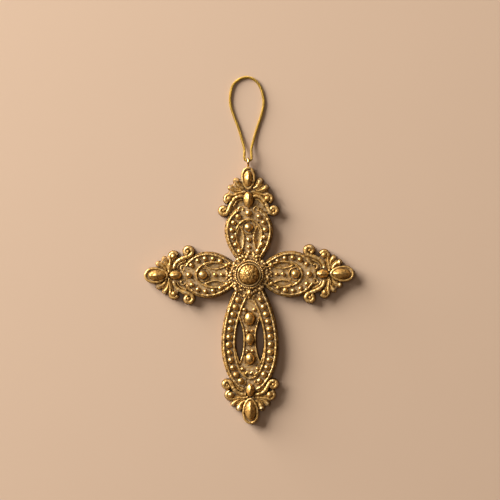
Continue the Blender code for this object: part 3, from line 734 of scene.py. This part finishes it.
def lobeLine(arm, lobe):        # a lobe's crest, from near the root out
    curl, count = curls["lobe"], castBody["lobeSteps"]
    start, end = Vector((curl["rootSide"], arm["root"])), Vector(arm[lobe][:2])
    first = start.lerp(end, curl["from"])
    bend = Vector((end.y - start.y, start.x - end.x)) * curl["bend"]
    return [first.lerp(end, i / count) + bend * math.sin(math.pi * i / count) for i in range(count + 1)]


def fused(name, meshes, voxel, paint):
    body = bmesh.new()
    for mesh in meshes:
        body.from_mesh(mesh)
    bmesh.ops.remove_doubles(body, verts=body.verts, dist=0.000001)
    bmesh.ops.recalc_face_normals(body, faces=body.faces)
    made = linked(name, meshOf(name, body))
    melt = made.modifiers.new("melt", "REMESH")
    melt.mode = "VOXEL"
    melt.voxel_size = voxel
    soften = made.modifiers.new("soften", "SMOOTH")
    soften.factor = 0.5
    soften.iterations = 2
    plain(made)
    made.data.materials.clear()
    made.data.materials.append(paint)
    made.data.shade_smooth()
    return made


def vertexArrays(mesh):        # places and normals
    arrays = []
    for key in ("co", "normal"):
        values = np.empty(len(mesh.vertices) * 3, np.float32)
        mesh.vertices.foreach_get(key, values)
        arrays.append(values.reshape(-1, 3))
    return arrays


def settle(made):        # slope the walls, roughen the face a little, keep the back flat
    mesh = made.data
    spots, normals = vertexArrays(mesh)
    lift = np.clip(1.0 - spots[:, 2] / heights["floor"], 0.0, 1.0)
    spots[:, :2] += normals[:, :2] * (lift * castBody["draft"])[:, None]
    push = np.array([noise.noise(Vector(p) * castBody["roughScale"]) for p in spots.tolist()], np.float32)
    spots[:, 2] += push * castBody["rough"] * np.clip(normals[:, 2], 0.0, 1.0)
    spots[:, 2] = np.where(spots[:, 2] < castBody["flatBelow"], 0.0, spots[:, 2])
    mesh.vertices.foreach_set("co", spots.ravel())
    mesh.update()


def armBody(label, arm):        # the bottoms lie a little apart, so that no two faces coincide
    recess = arm["recess"]
    start, end, half = arm["pod"]
    edge = inset(petalHalf(arm["outline"], castBody["petalStart"]), castBody["inset"])
    outlines = [resample(bothSides(edge), castBody["plateStep"])]
    outlines += [[(side * sign, out) for side, out in lens(recess)] for sign in (1.0, -1.0)]
    parts = [slab("plate", [level(arm, outline, 0.0) for outline in outlines], 0.0, heights["floor"])]
    if recess["floor"] is not None:
        for sign in (1.0, -1.0):
            outline = level(arm, lens(recess, castBody["pocketGrow"]), 0.0, sign)
            parts.append(slab("pocket", [outline], 0.00005, recess["floor"]))
    parts.append(slab("web", [level(arm, webOutline(arm), 0.0)], 0.00003, heights["web"]))
    back = egg(start, end - castBody["podInset"], half - castBody["podInset"], 40)
    parts.append(slab("podBack", [level(arm, back, 0.0)], 0.0, heights["scroll"] + 0.0003))
    body = bmesh.new()
    count, top = castBody["lobeSteps"], heights["web"] + 0.0003
    for sign in (1.0, -1.0):
        spots = level(arm, resample(voluteLine(arm), castBody["wallStep"]), 0.0, sign)
        wall(body, spots, [castBody["scrollWidth"] * 0.9] * len(spots), 0.00001, heights["scroll"])
        spots = level(arm, resample(leafLine(arm), castBody["wallStep"]), 0.0, sign)
        wall(body, spots, [castBody["leafWidth"] * 0.95] * len(spots), 0.00002, heights["scroll"] - 0.0002)
        for lobe in ("outerLobe", "innerLobe"):
            halves = [arm[lobe][2] * (0.7 + 0.3 * i / count) for i in range(count + 1)]
            wall(body, level(arm, lobeLine(arm, lobe), 0.0, sign), halves, 0.00004, heights["web"] + 0.0002)
        for key, share in castBody["knobs"]:
            side, out, radius = arm[key]
            bmesh.ops.create_cone(body, cap_ends=True, segments=castBody["coneSides"], radius1=radius * share,
                                  radius2=radius * share, depth=top,
                                  matrix=Matrix.Translation(placed(arm, side * sign, out, top / 2.0)))
    parts.append(meshOf("walls", body))
    made = fused("castArm" + label, parts, castBody["voxel"], paints["body"])
    settle(made)
    print(" ", made.name, len(made.data.polygons))
    return made


def pocketFloors(rings=8, around=40):        # spoon-shaped or crowned floor in each blind recess
    body = bmesh.new()
    for arm in arms.values():
        recess = arm["recess"]
        if recess["floor"] is None:
            continue
        outline = lens(recess, 0.0003, around // 2)
        for sign in (1.0, -1.0):
            loops = []
            for k in range(1, rings + 2):
                share = min(k, rings) / rings
                height = recess["edge"] + recess["crown"] * (1.0 - share * share) if k <= rings else 0.0010
                loops.append([body.verts.new(placed(arm, (recess["side"] + (side - recess["side"]) * share) * sign,
                                                    recess["out"] + (out - recess["out"]) * share, height))
                              for side, out in outline])
            for a, b in zip(loops, loops[1:]):
                for i in range(len(outline)):
                    j = (i + 1) % len(outline)
                    body.faces.new((a[i], a[j], b[j], b[i]))
            body.faces.new(loops[0])
            body.faces.new(loops[-1])
    bmesh.ops.recalc_face_normals(body, faces=body.faces)
    return smoothPiece("pocketFloors", body, paints["body"])


bodies = [armBody(label, arm) for label, arm in arms.items()]
bodies.append(pocketFloors())


# centre: disc, granules, grain ring, collar and hammered dome

print("centre")
centreBoss = {
    "discRadius": 0.0090, "discTop": 0.0042, "waviness": 0.00035,
    "domeRadius": 0.0047, "domeFoot": 0.0054, "domeTop": 0.0089, "dents": 0.00085, "dentSize": 0.0017,
    "collarRadius": 0.0052, "collarThickness": 0.00032, "collarHeight": 0.0057,
    "ringRadius": 0.0064, "ringGrains": 47, "ringGrainRadius": 0.00040, "ringHeight": 0.0052,
    "granuleBand": (0.0069, 0.0091), "rootBand": (0.0091, 0.0107, 29.0), "granuleSpacing": 0.00122,
    "granules": (0.00034, 0.00105), "leaf": (0.0086, 0.0015, 0.0020, 0.0015),
    "standShare": 1.07, "dentSquash": 0.6, "domeRough": 0.00012, "skirt": 0.0008,
}


def discBody():
    steps = 120
    outline = []
    for i in range(steps):
        angle = 2.0 * math.pi * i / steps
        wave = noise.noise(Vector((math.cos(angle) * 3.1, math.sin(angle) * 3.1, 4.0))) * 1.6
        outline.append(onCircle(centreBoss["discRadius"] + centreBoss["waviness"] * wave, angle, 0.0))
    stand = circleAt(centreBoss["ringRadius"] * centreBoss["standShare"], 0.0, 60)
    made = fused("castCentre", [slab("disc", [outline], 0.0, centreBoss["discTop"]),
                                slab("stand", [stand], 0.00002, centreBoss["ringHeight"] - 0.0003)],
                 castBody["voxel"], paints["body"])
    settle(made)
    return made


def hammeredDome():
    radius, foot = centreBoss["domeRadius"], centreBoss["domeFoot"]
    rise = centreBoss["domeTop"] - foot
    body = bmesh.new()
    bmesh.ops.create_icosphere(body, subdivisions=6, radius=1.0)
    bmesh.ops.delete(body, geom=[v for v in body.verts if v.co.z < -0.001], context="VERTS")
    for vert in body.verts:
        place = vert.co.copy()
        spot = Vector((place.x, place.y, place.z * centreBoss["dentSquash"])) * radius / centreBoss["dentSize"]
        near, far = noise.voronoi(spot + Vector((3.7, 1.2, 8.8)))[0][:2]
        dent = (min(far - near, 0.5) * 2.0 - 1.0) * 0.5 * centreBoss["dents"] * min(1.0, place.z * 2.5)
        reach = 1.0 + (dent + centreBoss["domeRough"] * noise.noise(place * 9.0)) / radius
        vert.co = Vector((place.x * radius * reach, centreUp + place.y * radius * reach, foot + place.z * rise * reach))
    skirt = bmesh.ops.extrude_edge_only(body, edges=[e for e in body.edges if e.is_boundary])
    for part in skirt["geom"]:
        if isinstance(part, bmesh.types.BMVert):
            part.co.z = foot - centreBoss["skirt"]
    bmesh.ops.contextual_create(body, geom=[e for e in body.edges if e.is_boundary])
    bmesh.ops.recalc_face_normals(body, faces=body.faces)
    return smoothPiece("hammeredDome", body, paints["dome"])


def bandPlate(name, bands):        # bands: (inner, outer, first angle, last angle, height)
    mesh = bpy.data.meshes.new(name)
    spots, faces = [], []
    for inner, outer, first, last, height in bands:
        count, start = max(6, round((last - first) / 4.0)), len(spots)
        for i in range(count + 1):
            angle = math.radians(first + (last - first) * i / count)
            spots += [onCircle(reach, angle, height) for reach in (inner, outer)]
        faces += [(start + 2 * i, start + 2 * i + 1, start + 2 * i + 3, start + 2 * i + 2) for i in range(count)]
    mesh.from_pydata(spots, [], faces)
    return mesh


def circleAt(radius, height, steps):
    return [onCircle(radius, 2.0 * math.pi * i / steps, height) for i in range(steps)]


ridges, beads = ridgeTree(), beadTree()
bodies.append(discBody())
dome = hammeredDome()
ringLine = circleAt(centreBoss["ringRadius"], centreBoss["ringHeight"], 120)
grainRing = grown("grainRing", lineMesh("ringPath", [(ringLine, [1.0] * 120, True)]), beads, {
    "Count": centreBoss["ringGrains"], "Radius": centreBoss["ringGrainRadius"], "Variation": 0.14,
    "Unevenness": 0.00015, "Seed": 5, "Material": paints["bead"]})
*rootReach, rootSpread = centreBoss["rootBand"]
bands = [(*centreBoss["granuleBand"], 0.0, 360.0, centreBoss["discTop"] + 0.0001)]
bands += [(*rootReach, 90.0 + arm["turn"] - rootSpread, 90.0 + arm["turn"] + rootSpread, heights["floor"] + 0.0003)
          for arm in arms.values()]
granules = grown("granules", bandPlate("granuleBands", bands), granuleTree(), {
    "Spacing": centreBoss["granuleSpacing"], "Smallest": centreBoss["granules"][0],
    "Largest": centreBoss["granules"][1], "Unevenness": 0.0012, "Seed": 11, "Material": paints["pebble"]})


# ridges: rims, recess edges, boss rings, scrolls and leaves

print("ridges")
rims = {
    "outer": {"inset": 0.00105, "height": 0.0040, "thickness": 0.00044},
    "ledge": {"inset": 0.00028, "height": 0.0031, "thickness": 0.00038},
    "inner": {"height": 0.0038, "thickness": 0.00046},
    "recess": {"grow": 0.00032, "height": 0.0037, "thickness": 0.00036},
    "bossRing": {"height": 0.0036, "thickness": 0.00030},
    "longRing": {"gap": 0.00045, "height": 0.0034, "thickness": 0.00026},
    "lace": {"half": 0.0036, "out": 0.0468, "dip": 0.0013, "fall": 0.0006, "height": 0.0040, "thickness": 0.00052},
    "arch": {"aside": 0.0013, "before": 0.0007, "radius": 0.0011, "height": 0.0036, "thickness": 0.00036},
    "start": 0.0052, "step": 0.0003, "unevenness": 0.00044, "raggedness": 0.50, "innerRaggedness": 0.28,
}
scrolls = {
    "height": 0.0035, "thickness": 0.00092, "leafThickness": 0.00068, "strand": 0.00040, "strandOff": 0.0015,
    "podRim": 0.00054, "vein": 0.00036, "lobeCrest": 0.00026, "lobeCrestOff": 0.85,
    "step": 0.0003, "unevenness": 0.00036, "raggedness": 0.25,
}


swell = {"slow": 950.0, "fast": 2300.0, "fastShare": 0.6}        # per metre, along each ridge


def ragged(rows, share):        # thickness that swells and thins along each line
    made = []
    for points, sizes, closed in rows:
        waves = [noise.noise(Vector(p) * swell["slow"]) + swell["fastShare"] * noise.noise(Vector(p) * swell["fast"])
                 for p in points]
        made.append((points, [size * (1.0 + share * wave) for size, wave in zip(sizes, waves)], closed))
    return made


def ridge(arm, line, height, thick, sign=1.0, closed=False):        # thick: one size, or one for each point
    return level(arm, line, height, sign), thick if isinstance(thick, list) else [thick] * len(line), closed


def rimRows(arm):
    rows = []
    for key in ("outer", "ledge"):
        rim = rims[key]
        line = [p for p in inset(petalHalf(arm["outline"], rims["start"]), rim["inset"])
                if p[1] < arm["outline"][1] or p[0] > arm["openTip"]]
        line = resample(line, rims["step"])
        rows += [ridge(arm, line, rim["height"], rim["thickness"], sign) for sign in (1.0, -1.0)]
    return rows


def innerRows(arm):
    rim = rims["inner"]
    line = resample(bothSides(petalHalf(arm["innerRim"], arm["innerRimStart"])), rims["step"])
    rows = [ridge(arm, line, rim["height"], rim["thickness"])]
    rim = rims["recess"]
    line = resample(lens(arm["recess"], rim["grow"]), rims["step"], closed=True)
    rows += [ridge(arm, line, rim["height"], rim["thickness"], sign, closed=True) for sign in (1.0, -1.0)]
    if arm["bossRing"]:
        rim = rims["bossRing"]
        line = arc(0.0, arm["bosses"][0][0], arm["bossRing"], 0.0, 352.0, 44)
        rows.append(ridge(arm, line, rim["height"], rim["thickness"], closed=True))
    else:        # ring round each long boss, and the lace crest below the last
        rim, lace = rims["longRing"], rims["lace"]
        for out, wide, long in arm["bosses"]:
            turns = [a / 18.0 * math.pi for a in range(36)]
            line = [((wide + rim["gap"]) * math.cos(a), out + (long + rim["gap"]) * math.sin(a)) for a in turns]
            rows.append(ridge(arm, line, rim["height"], rim["thickness"], closed=True))
        shares = [i / 30.0 for i in range(-30, 31)]
        line = [(s * lace["half"], lace["out"] - lace["dip"] * abs(math.sin(1.5 * math.pi * s)) + lace["fall"] * abs(s))
                for s in shares]
        rows.append(ridge(arm, line, lace["height"], lace["thickness"]))
    arch = rims["arch"]        # small arches beside the drop
    line = arc(arm["drop"][2] + arch["aside"], arm["drop"][0] - arch["before"], arch["radius"], -60.0, 215.0, 20)
    return rows + [ridge(arm, line, arch["height"], arch["thickness"], sign) for sign in (1.0, -1.0)]


def strand(points, off):        # a line beside another, towards the middle of the cross
    moved = []
    for i, p in enumerate(points):
        before, after = points[max(i - 1, 0)], points[min(i + 1, len(points) - 1)]
        step = Vector((after[0] - before[0], after[1] - before[1])).normalized()
        moved.append((p[0] + step.y * off, p[1] - step.x * off))
    return moved


def scrollRows(arm):
    side, out, radius = arm["ball"]
    root, high = arm["root"], scrolls["height"]
    stem, leaf = (resample(line, scrolls["step"]) for line in (voluteLine(arm), leafLine(arm)))
    vein = bezier((0.0016, root - 0.0007), (0.0035, root - 0.0008),
                  (side - radius * 1.6, out + radius * 0.6), (side - radius * 0.7, out + radius * 0.25), 20)
    along = [i / (len(stem) - 1) for i in range(len(stem))]
    stemSizes = [scrolls["thickness"] * (0.75 + 0.25 * min(1.0, s * 3.0) - 0.35 * max(0.0, s - 0.6)) for s in along]
    leafSizes = [scrolls["leafThickness"] * (0.7 + 0.35 * i / (len(leaf) - 1)) for i in range(len(leaf))]
    beside = strand(stem[2:int((len(stem) - 1) * 0.42)], scrolls["strandOff"])
    besideSizes = [scrolls["strand"] * (0.6 + 0.8 * i / len(beside)) for i in range(len(beside))]
    rows = []
    for sign in (1.0, -1.0):
        rows += [ridge(arm, stem, high, stemSizes, sign), ridge(arm, beside, high - 0.0002, besideSizes, sign),
                 ridge(arm, leaf, high - 0.0001, leafSizes, sign),
                 ridge(arm, vein, high - 0.0004, scrolls["vein"], sign)]
        for lobe in ("outerLobe", "innerLobe"):
            line, radius = lobeLine(arm, lobe), arm[lobe][2]
            sizes = [radius * (0.40 + 0.45 * (i / 10.0) ** 1.5) for i in range(11)]
            rows.append(ridge(arm, line, heights["web"] + 0.0006, sizes, sign))
            for off in (scrolls["lobeCrestOff"], -scrolls["lobeCrestOff"]):        # thin crests either side
                crest = strand([(p.x, p.y) for p in line[1:9]], off * radius)
                rows.append(ridge(arm, crest, heights["web"] + 0.0005, scrolls["lobeCrest"], sign))
    start, end, half = arm["pod"]
    rim = scrolls["podRim"]
    return rows + [ridge(arm, egg(start + rim, end - rim, half - rim, 56), high + 0.0003, rim, closed=True)]


def ridgePiece(name, rowsOf, share, sides, unevenness, seed, paint):
    rows = ragged([row for arm in arms.values() for row in rowsOf(arm)], share)
    return grown(name, lineMesh(name + "Path", rows), ridges, {
        "Sides": sides, "Unevenness": unevenness, "Seed": seed, "Material": paints[paint]})


rimPiece = ridgePiece("petalRims", rimRows, rims["raggedness"], 10, rims["unevenness"], 2.0, "rim")
innerPiece = ridgePiece("innerRidges", innerRows, rims["innerRaggedness"], 8, rims["unevenness"], 4.0, "rim")
collarLine = circleAt(centreBoss["collarRadius"], centreBoss["collarHeight"], 90)
collarRow = (collarLine, [centreBoss["collarThickness"]] * 90, True)
collar = grown("domeCollar", lineMesh("collarPath", [collarRow]), ridges, {
    "Sides": 10, "Unevenness": 0.0001, "Seed": 3.0, "Material": paints["ridge"]})
scrollPiece = ridgePiece("scrollsAndLeaves", scrollRows, scrolls["raggedness"], 12, scrolls["unevenness"], 6.0, "ridge")


# beads, bosses and seeds

print("beads")
pearls = {
    "rise": 0.00030, "variation": 0.08, "unevenness": 0.00026, "seedUnevenness": 0.00022,
    "keel": 1.18, "keelRise": {"seed": 0.88, "drop": 1.05}, "keelFoot": 0.0004,        # keel: below 2 gives a crest
    "bossRise": 1.15, "voluteEye": 0.36, "ballShare": 0.88,        # shares of their radius
}


def borderRow(arm):
    border = arm["border"]
    line = inset(petalHalf(arm["outline"], border["first"] - border["inset"]), border["inset"])
    line = [p for p in line if border["first"] <= p[1] <= border["last"]]
    if line[-1][0] < border["pitch"] / 2.0:
        line.append((0.0, line[-1][1]))
    length = sum((Vector(b) - Vector(a)).length for a, b in zip(line, line[1:]))
    return line, max(2, round(length / border["pitch"])) + 1


parts = []
for index, arm in enumerate(arms.values()):
    line, count = borderRow(arm)
    for sign in (1.0, -1.0):
        if sign < 0.0 and line[-1][0] == 0.0:        # the tip bead belongs to one side only
            whole = resample(line, arm["border"]["pitch"])
            line, count = [tuple(p) for p in whole[:-1]], len(whole) - 1
        path = level(arm, line, heights["floor"] + pearls["rise"], sign)
        parts.append(grown("border", lineMesh("borderPath", [(path, [1.0] * len(path), False)]), beads, {
            "Count": count, "Radius": arm["border"]["radius"], "Variation": pearls["variation"],
            "Unevenness": pearls["unevenness"], "Seed": 20 + index * 2 + int(sign > 0.0), "Material": paints["bead"]}))
borderBeads = joined("borderBeads", parts, paints["bead"])


def seeds(name, places, paint, roof, uneven):        # places: (centre, half sizes, turn)
    body = bmesh.new()
    for centre, sizes, turn in places:
        ball = bmesh.ops.create_icosphere(body, subdivisions=4, radius=1.0)
        spin = Matrix.Rotation(math.radians(turn), 4, "Z")
        for vert in ball["verts"]:
            x, y, z = vert.co
            ring = math.hypot(x, z)
            if ring > 1e-6 and roof != 2.0:
                u, v = abs(x) / ring, abs(z) / ring
                fit = (u ** roof + v ** roof) ** (-1.0 / roof)
                x, z = x * fit, z * fit
            place = Vector((x * sizes[0], y * sizes[1], z * sizes[2]))
            place += Vector(place).normalized() * uneven * noise.noise((place + centre) * 700.0)
            vert.co = Vector(centre) + spin @ place
    return smoothPiece(name, body, paint)


roundPlaces, seedPlaces = [], []
for arm in arms.values():
    high = heights["floor"] + pearls["rise"]
    for out, wide, long in arm["bosses"]:
        roundPlaces.append((placed(arm, 0.0, out, high), (wide, long, wide * pearls["bossRise"]), arm["turn"]))
    for side, out, radius in arm["columnBeads"]:
        for sign in ((1.0, -1.0) if side else (1.0,)):
            roundPlaces.append((placed(arm, side * sign, out, high), (radius,) * 3, 0.0))
    for sign in (1.0, -1.0):
        for key, share, drop in (("volute", pearls["voluteEye"], 0.0), ("ball", pearls["ballShare"], 0.0001)):
            side, out, radius = arm[key]
            roundPlaces.append((placed(arm, side * sign, out, heights["scroll"] - drop), (radius * share,) * 3, 0.0))
    for key in ("seed", "drop"):
        start, end, half = arm[key]
        seedPlaces.append((placed(arm, 0.0, (start + end) / 2.0, heights["scroll"] + pearls["keelFoot"]),
                           (half, (end - start) / 2.0, half * pearls["keelRise"][key]), arm["turn"]))
leaf = centreBoss["leaf"]
seedPlaces.append((placed(lowerArm, 0.0, leaf[0], heights["floor"] + 0.0006), leaf[1:], 0.0))
bossPiece = seeds("bossesAndBalls", roundPlaces, paints["bead"], 2.0, 0.00012)
seedPiece = seeds("podSeeds", seedPlaces, paints["keel"], pearls["keel"], pearls["seedUnevenness"])

castPieces = [*bodies, dome, grainRing, granules, rimPiece, innerPiece, collar, scrollPiece, borderBeads, bossPiece,
              seedPiece]


# where the surface stands proud of its surroundings, kept as an attribute for the gilding's patina, with painted shade
# at the foot of the edge walls and painted light on the top arm's pocket floors

print("relief")
reliefMap = {        # distances of the blurs and of the heights that they divide, then the tones they give
    "cell": 0.00025, "length": 0.1352, "margin": 0.004, "solidAbove": 0.0012,
    "near": 0.00055, "nearSpan": 0.00075, "far": 0.0014, "farSpan": 0.0019, "wide": 0.0030,
    "base": 0.47, "litTopPockets": 0.60, "pockets": 0.48, "topPocketsFrom": 0.0100, "back": 0.44,
    "wallFootShade": 0.22, "wallRise": 0.27, "wallHeight": 0.004, "edgeBelow": 0.74, "flatFrom": 0.72, "gain": 5.0,
}


def blurred(grid, sigma):
    reach = max(1, int(sigma * 2.5))
    kernel = np.exp(-0.5 * (np.arange(-reach, reach + 1) / sigma) ** 2)
    kernel /= kernel.sum()
    for axis in (0, 1):
        grid = np.apply_along_axis(lambda row: np.convolve(row, kernel, mode="same"), axis, grid)
    return grid


def measureRelief(pieces):
    spots, faces = [], []
    for piece in pieces:
        first = len(spots)
        spots += [tuple(v.co) for v in piece.data.vertices]
        faces += [tuple(first + k for k in p.vertices) for p in piece.data.polygons]
    tree = BVHTree.FromPolygons(spots, faces)
    cell, margin = reliefMap["cell"], reliefMap["margin"]
    nx = int((cadBox[1].x - cadBox[0].x + 2 * margin) / cell) + 1
    ny = int((reliefMap["length"] + 2 * margin) / cell) + 1
    low = (cadBox[0].x - margin, cadBox[0].y - margin)
    grid = np.zeros((nx, ny))
    down = Vector((0.0, 0.0, -1.0))
    for i in range(nx):
        x = low[0] + i * cell
        for j in range(ny):
            hit = tree.ray_cast(Vector((x, low[1] + j * cell, 0.02)), down, 0.02)[0]
            if hit is not None:
                grid[i, j] = hit.z
    solid = (grid > reliefMap["solidAbove"]).astype(float)        # the open air round the casting doesn't count
    near, far = (blurred(grid * solid, reliefMap[key] / cell) / np.maximum(blurred(solid, reliefMap[key] / cell), 0.05)
                 for key in ("near", "far"))
    wide = blurred(solid, reliefMap["wide"] / cell)
    for piece in pieces:
        mesh = piece.data
        co, no = vertexArrays(mesh)
        i = np.clip((co[:, 0] - low[0]) / cell, 0, nx - 1.001)
        j = np.clip((co[:, 1] - low[1]) / cell, 0, ny - 1.001)
        i0, j0 = i.astype(int), j.astype(int)
        fi, fj = i - i0, j - j0
        close, around, share = (soft[i0, j0] * (1 - fi) * (1 - fj) + soft[i0 + 1, j0] * fi * (1 - fj)
                                + soft[i0, j0 + 1] * (1 - fi) * fj + soft[i0 + 1, j0 + 1] * fi * fj
                                for soft in (near, far, wide))
        crest = (reliefMap["base"]
                 + 0.5 * np.clip((co[:, 2] - close) / (2.0 * reliefMap["nearSpan"]), -0.6, 0.6)
                 + 0.5 * np.clip((co[:, 2] - around) / (2.0 * reliefMap["farSpan"]), -0.7, 0.7))
        # painted light: the top arm's pocket floors get a lighter tone than the same floors on the side arms
        if piece.name == "pocketFloors":
            crest = np.where(co[:, 1] > centreUp + reliefMap["topPocketsFrom"], reliefMap["litTopPockets"],
                             reliefMap["pockets"])
        # painted shade: steep walls at the casting's edges and round its slots take a tone that darkens towards the
        # floor
        steep = np.clip(1.0 - np.abs(no[:, 2]), 0.0, 1.0)
        walls = reliefMap["wallFootShade"] + reliefMap["wallRise"] * np.clip(co[:, 2] / reliefMap["wallHeight"], 0.0, 1.0)
        atEdge = np.clip((reliefMap["edgeBelow"] - share) * reliefMap["gain"], 0.0, 1.0)
        crest = crest * (1.0 - steep * atEdge) + walls * steep * atEdge
        crest = np.where(no[:, 2] < -0.5, reliefMap["back"], np.clip(crest, 0.0, 1.0))
        flat = np.clip((no[:, 2] - reliefMap["flatFrom"]) * reliefMap["gain"], 0.0, 1.0)
        if piece not in bodies and piece is not granules:
            flat = flat * 0.0
        mesh.attributes.new("crest", "FLOAT", "POINT").data.foreach_set("value", crest.astype(np.float32))
        mesh.attributes.new("flat", "FLOAT", "POINT").data.foreach_set("value", flat.astype(np.float32))


measureRelief(castPieces)


# the frame's own eye gets the wire finish, everything rides on the root

print("fitting")
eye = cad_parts["hanging_eye"]
eye.data.materials.clear()
eye.data.materials.append(paints["wire"])
for piece in castPieces:
    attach(piece, "root")
    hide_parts("cross_casting")


# floor and light

print("studio")
studio = {
    "floor": (0.60, 0.445, 0.335), "floorShade": (0.50, 0.37, 0.28), "patchSize": 0.03, "patches": 0.08,
    "roughness": 0.85, "specular": 0.2, "drop": 0.00021, "reach": 3.0,        # drop: the drawn cord just touches it
    "sky": (1.0, 0.70, 0.45, 1.0), "skyStrength": 0.13, "aim": (0.0, 0.01, 0.0),
    "key": {"place": (-1.60, 1.144, 0.696), "size": 1.60, "power": 142.0, "colour": (1.0, 0.955, 0.88)},
    "fill": {"place": (-0.20, 0.14, 0.95), "size": 0.24, "power": 0.55, "colour": (1.0, 0.97, 0.93)},
}


def makeStudio():
    made, bench = newPaint("paleFloor")
    tone = bench.speckle(bench.place(), studio["patchSize"], 2.0)
    colour = bench.blendColour(tone * studio["patches"], studio["floor"], studio["floorShade"])
    finishPaint(bench, {
        "Base Color": colour, "Roughness": studio["roughness"], "Specular IOR Level": studio["specular"]})
    mesh = bpy.data.meshes.new("floor")
    reach = studio["reach"]
    corners = ((-reach, -reach), (reach, -reach), (reach, reach), (-reach, reach))
    mesh.from_pydata([(x, y, -studio["drop"]) for x, y in corners], [], [(0, 1, 2, 3)])
    mesh.materials.append(made)
    floor = linked("floor", mesh)
    world = bpy.data.worlds.new("studioSky")
    world.use_nodes = True
    sky = world.node_tree.nodes["Background"]
    sky.inputs["Color"].default_value = studio["sky"]
    sky.inputs["Strength"].default_value = studio["skyStrength"]
    scene.world = world
    for key in ("key", "fill"):
        lamp = studio[key]
        data = bpy.data.lights.new(key, "AREA")
        data.size = lamp["size"]
        data.energy = lamp["power"]
        data.color = lamp["colour"]
        holder = linked(key, data)
        holder.location = lamp["place"]
        holder.rotation_euler = (Vector(studio["aim"]) - Vector(lamp["place"])).to_track_quat("-Z", "Y").to_euler()


makeStudio()
scene.view_settings.view_transform = "Standard"
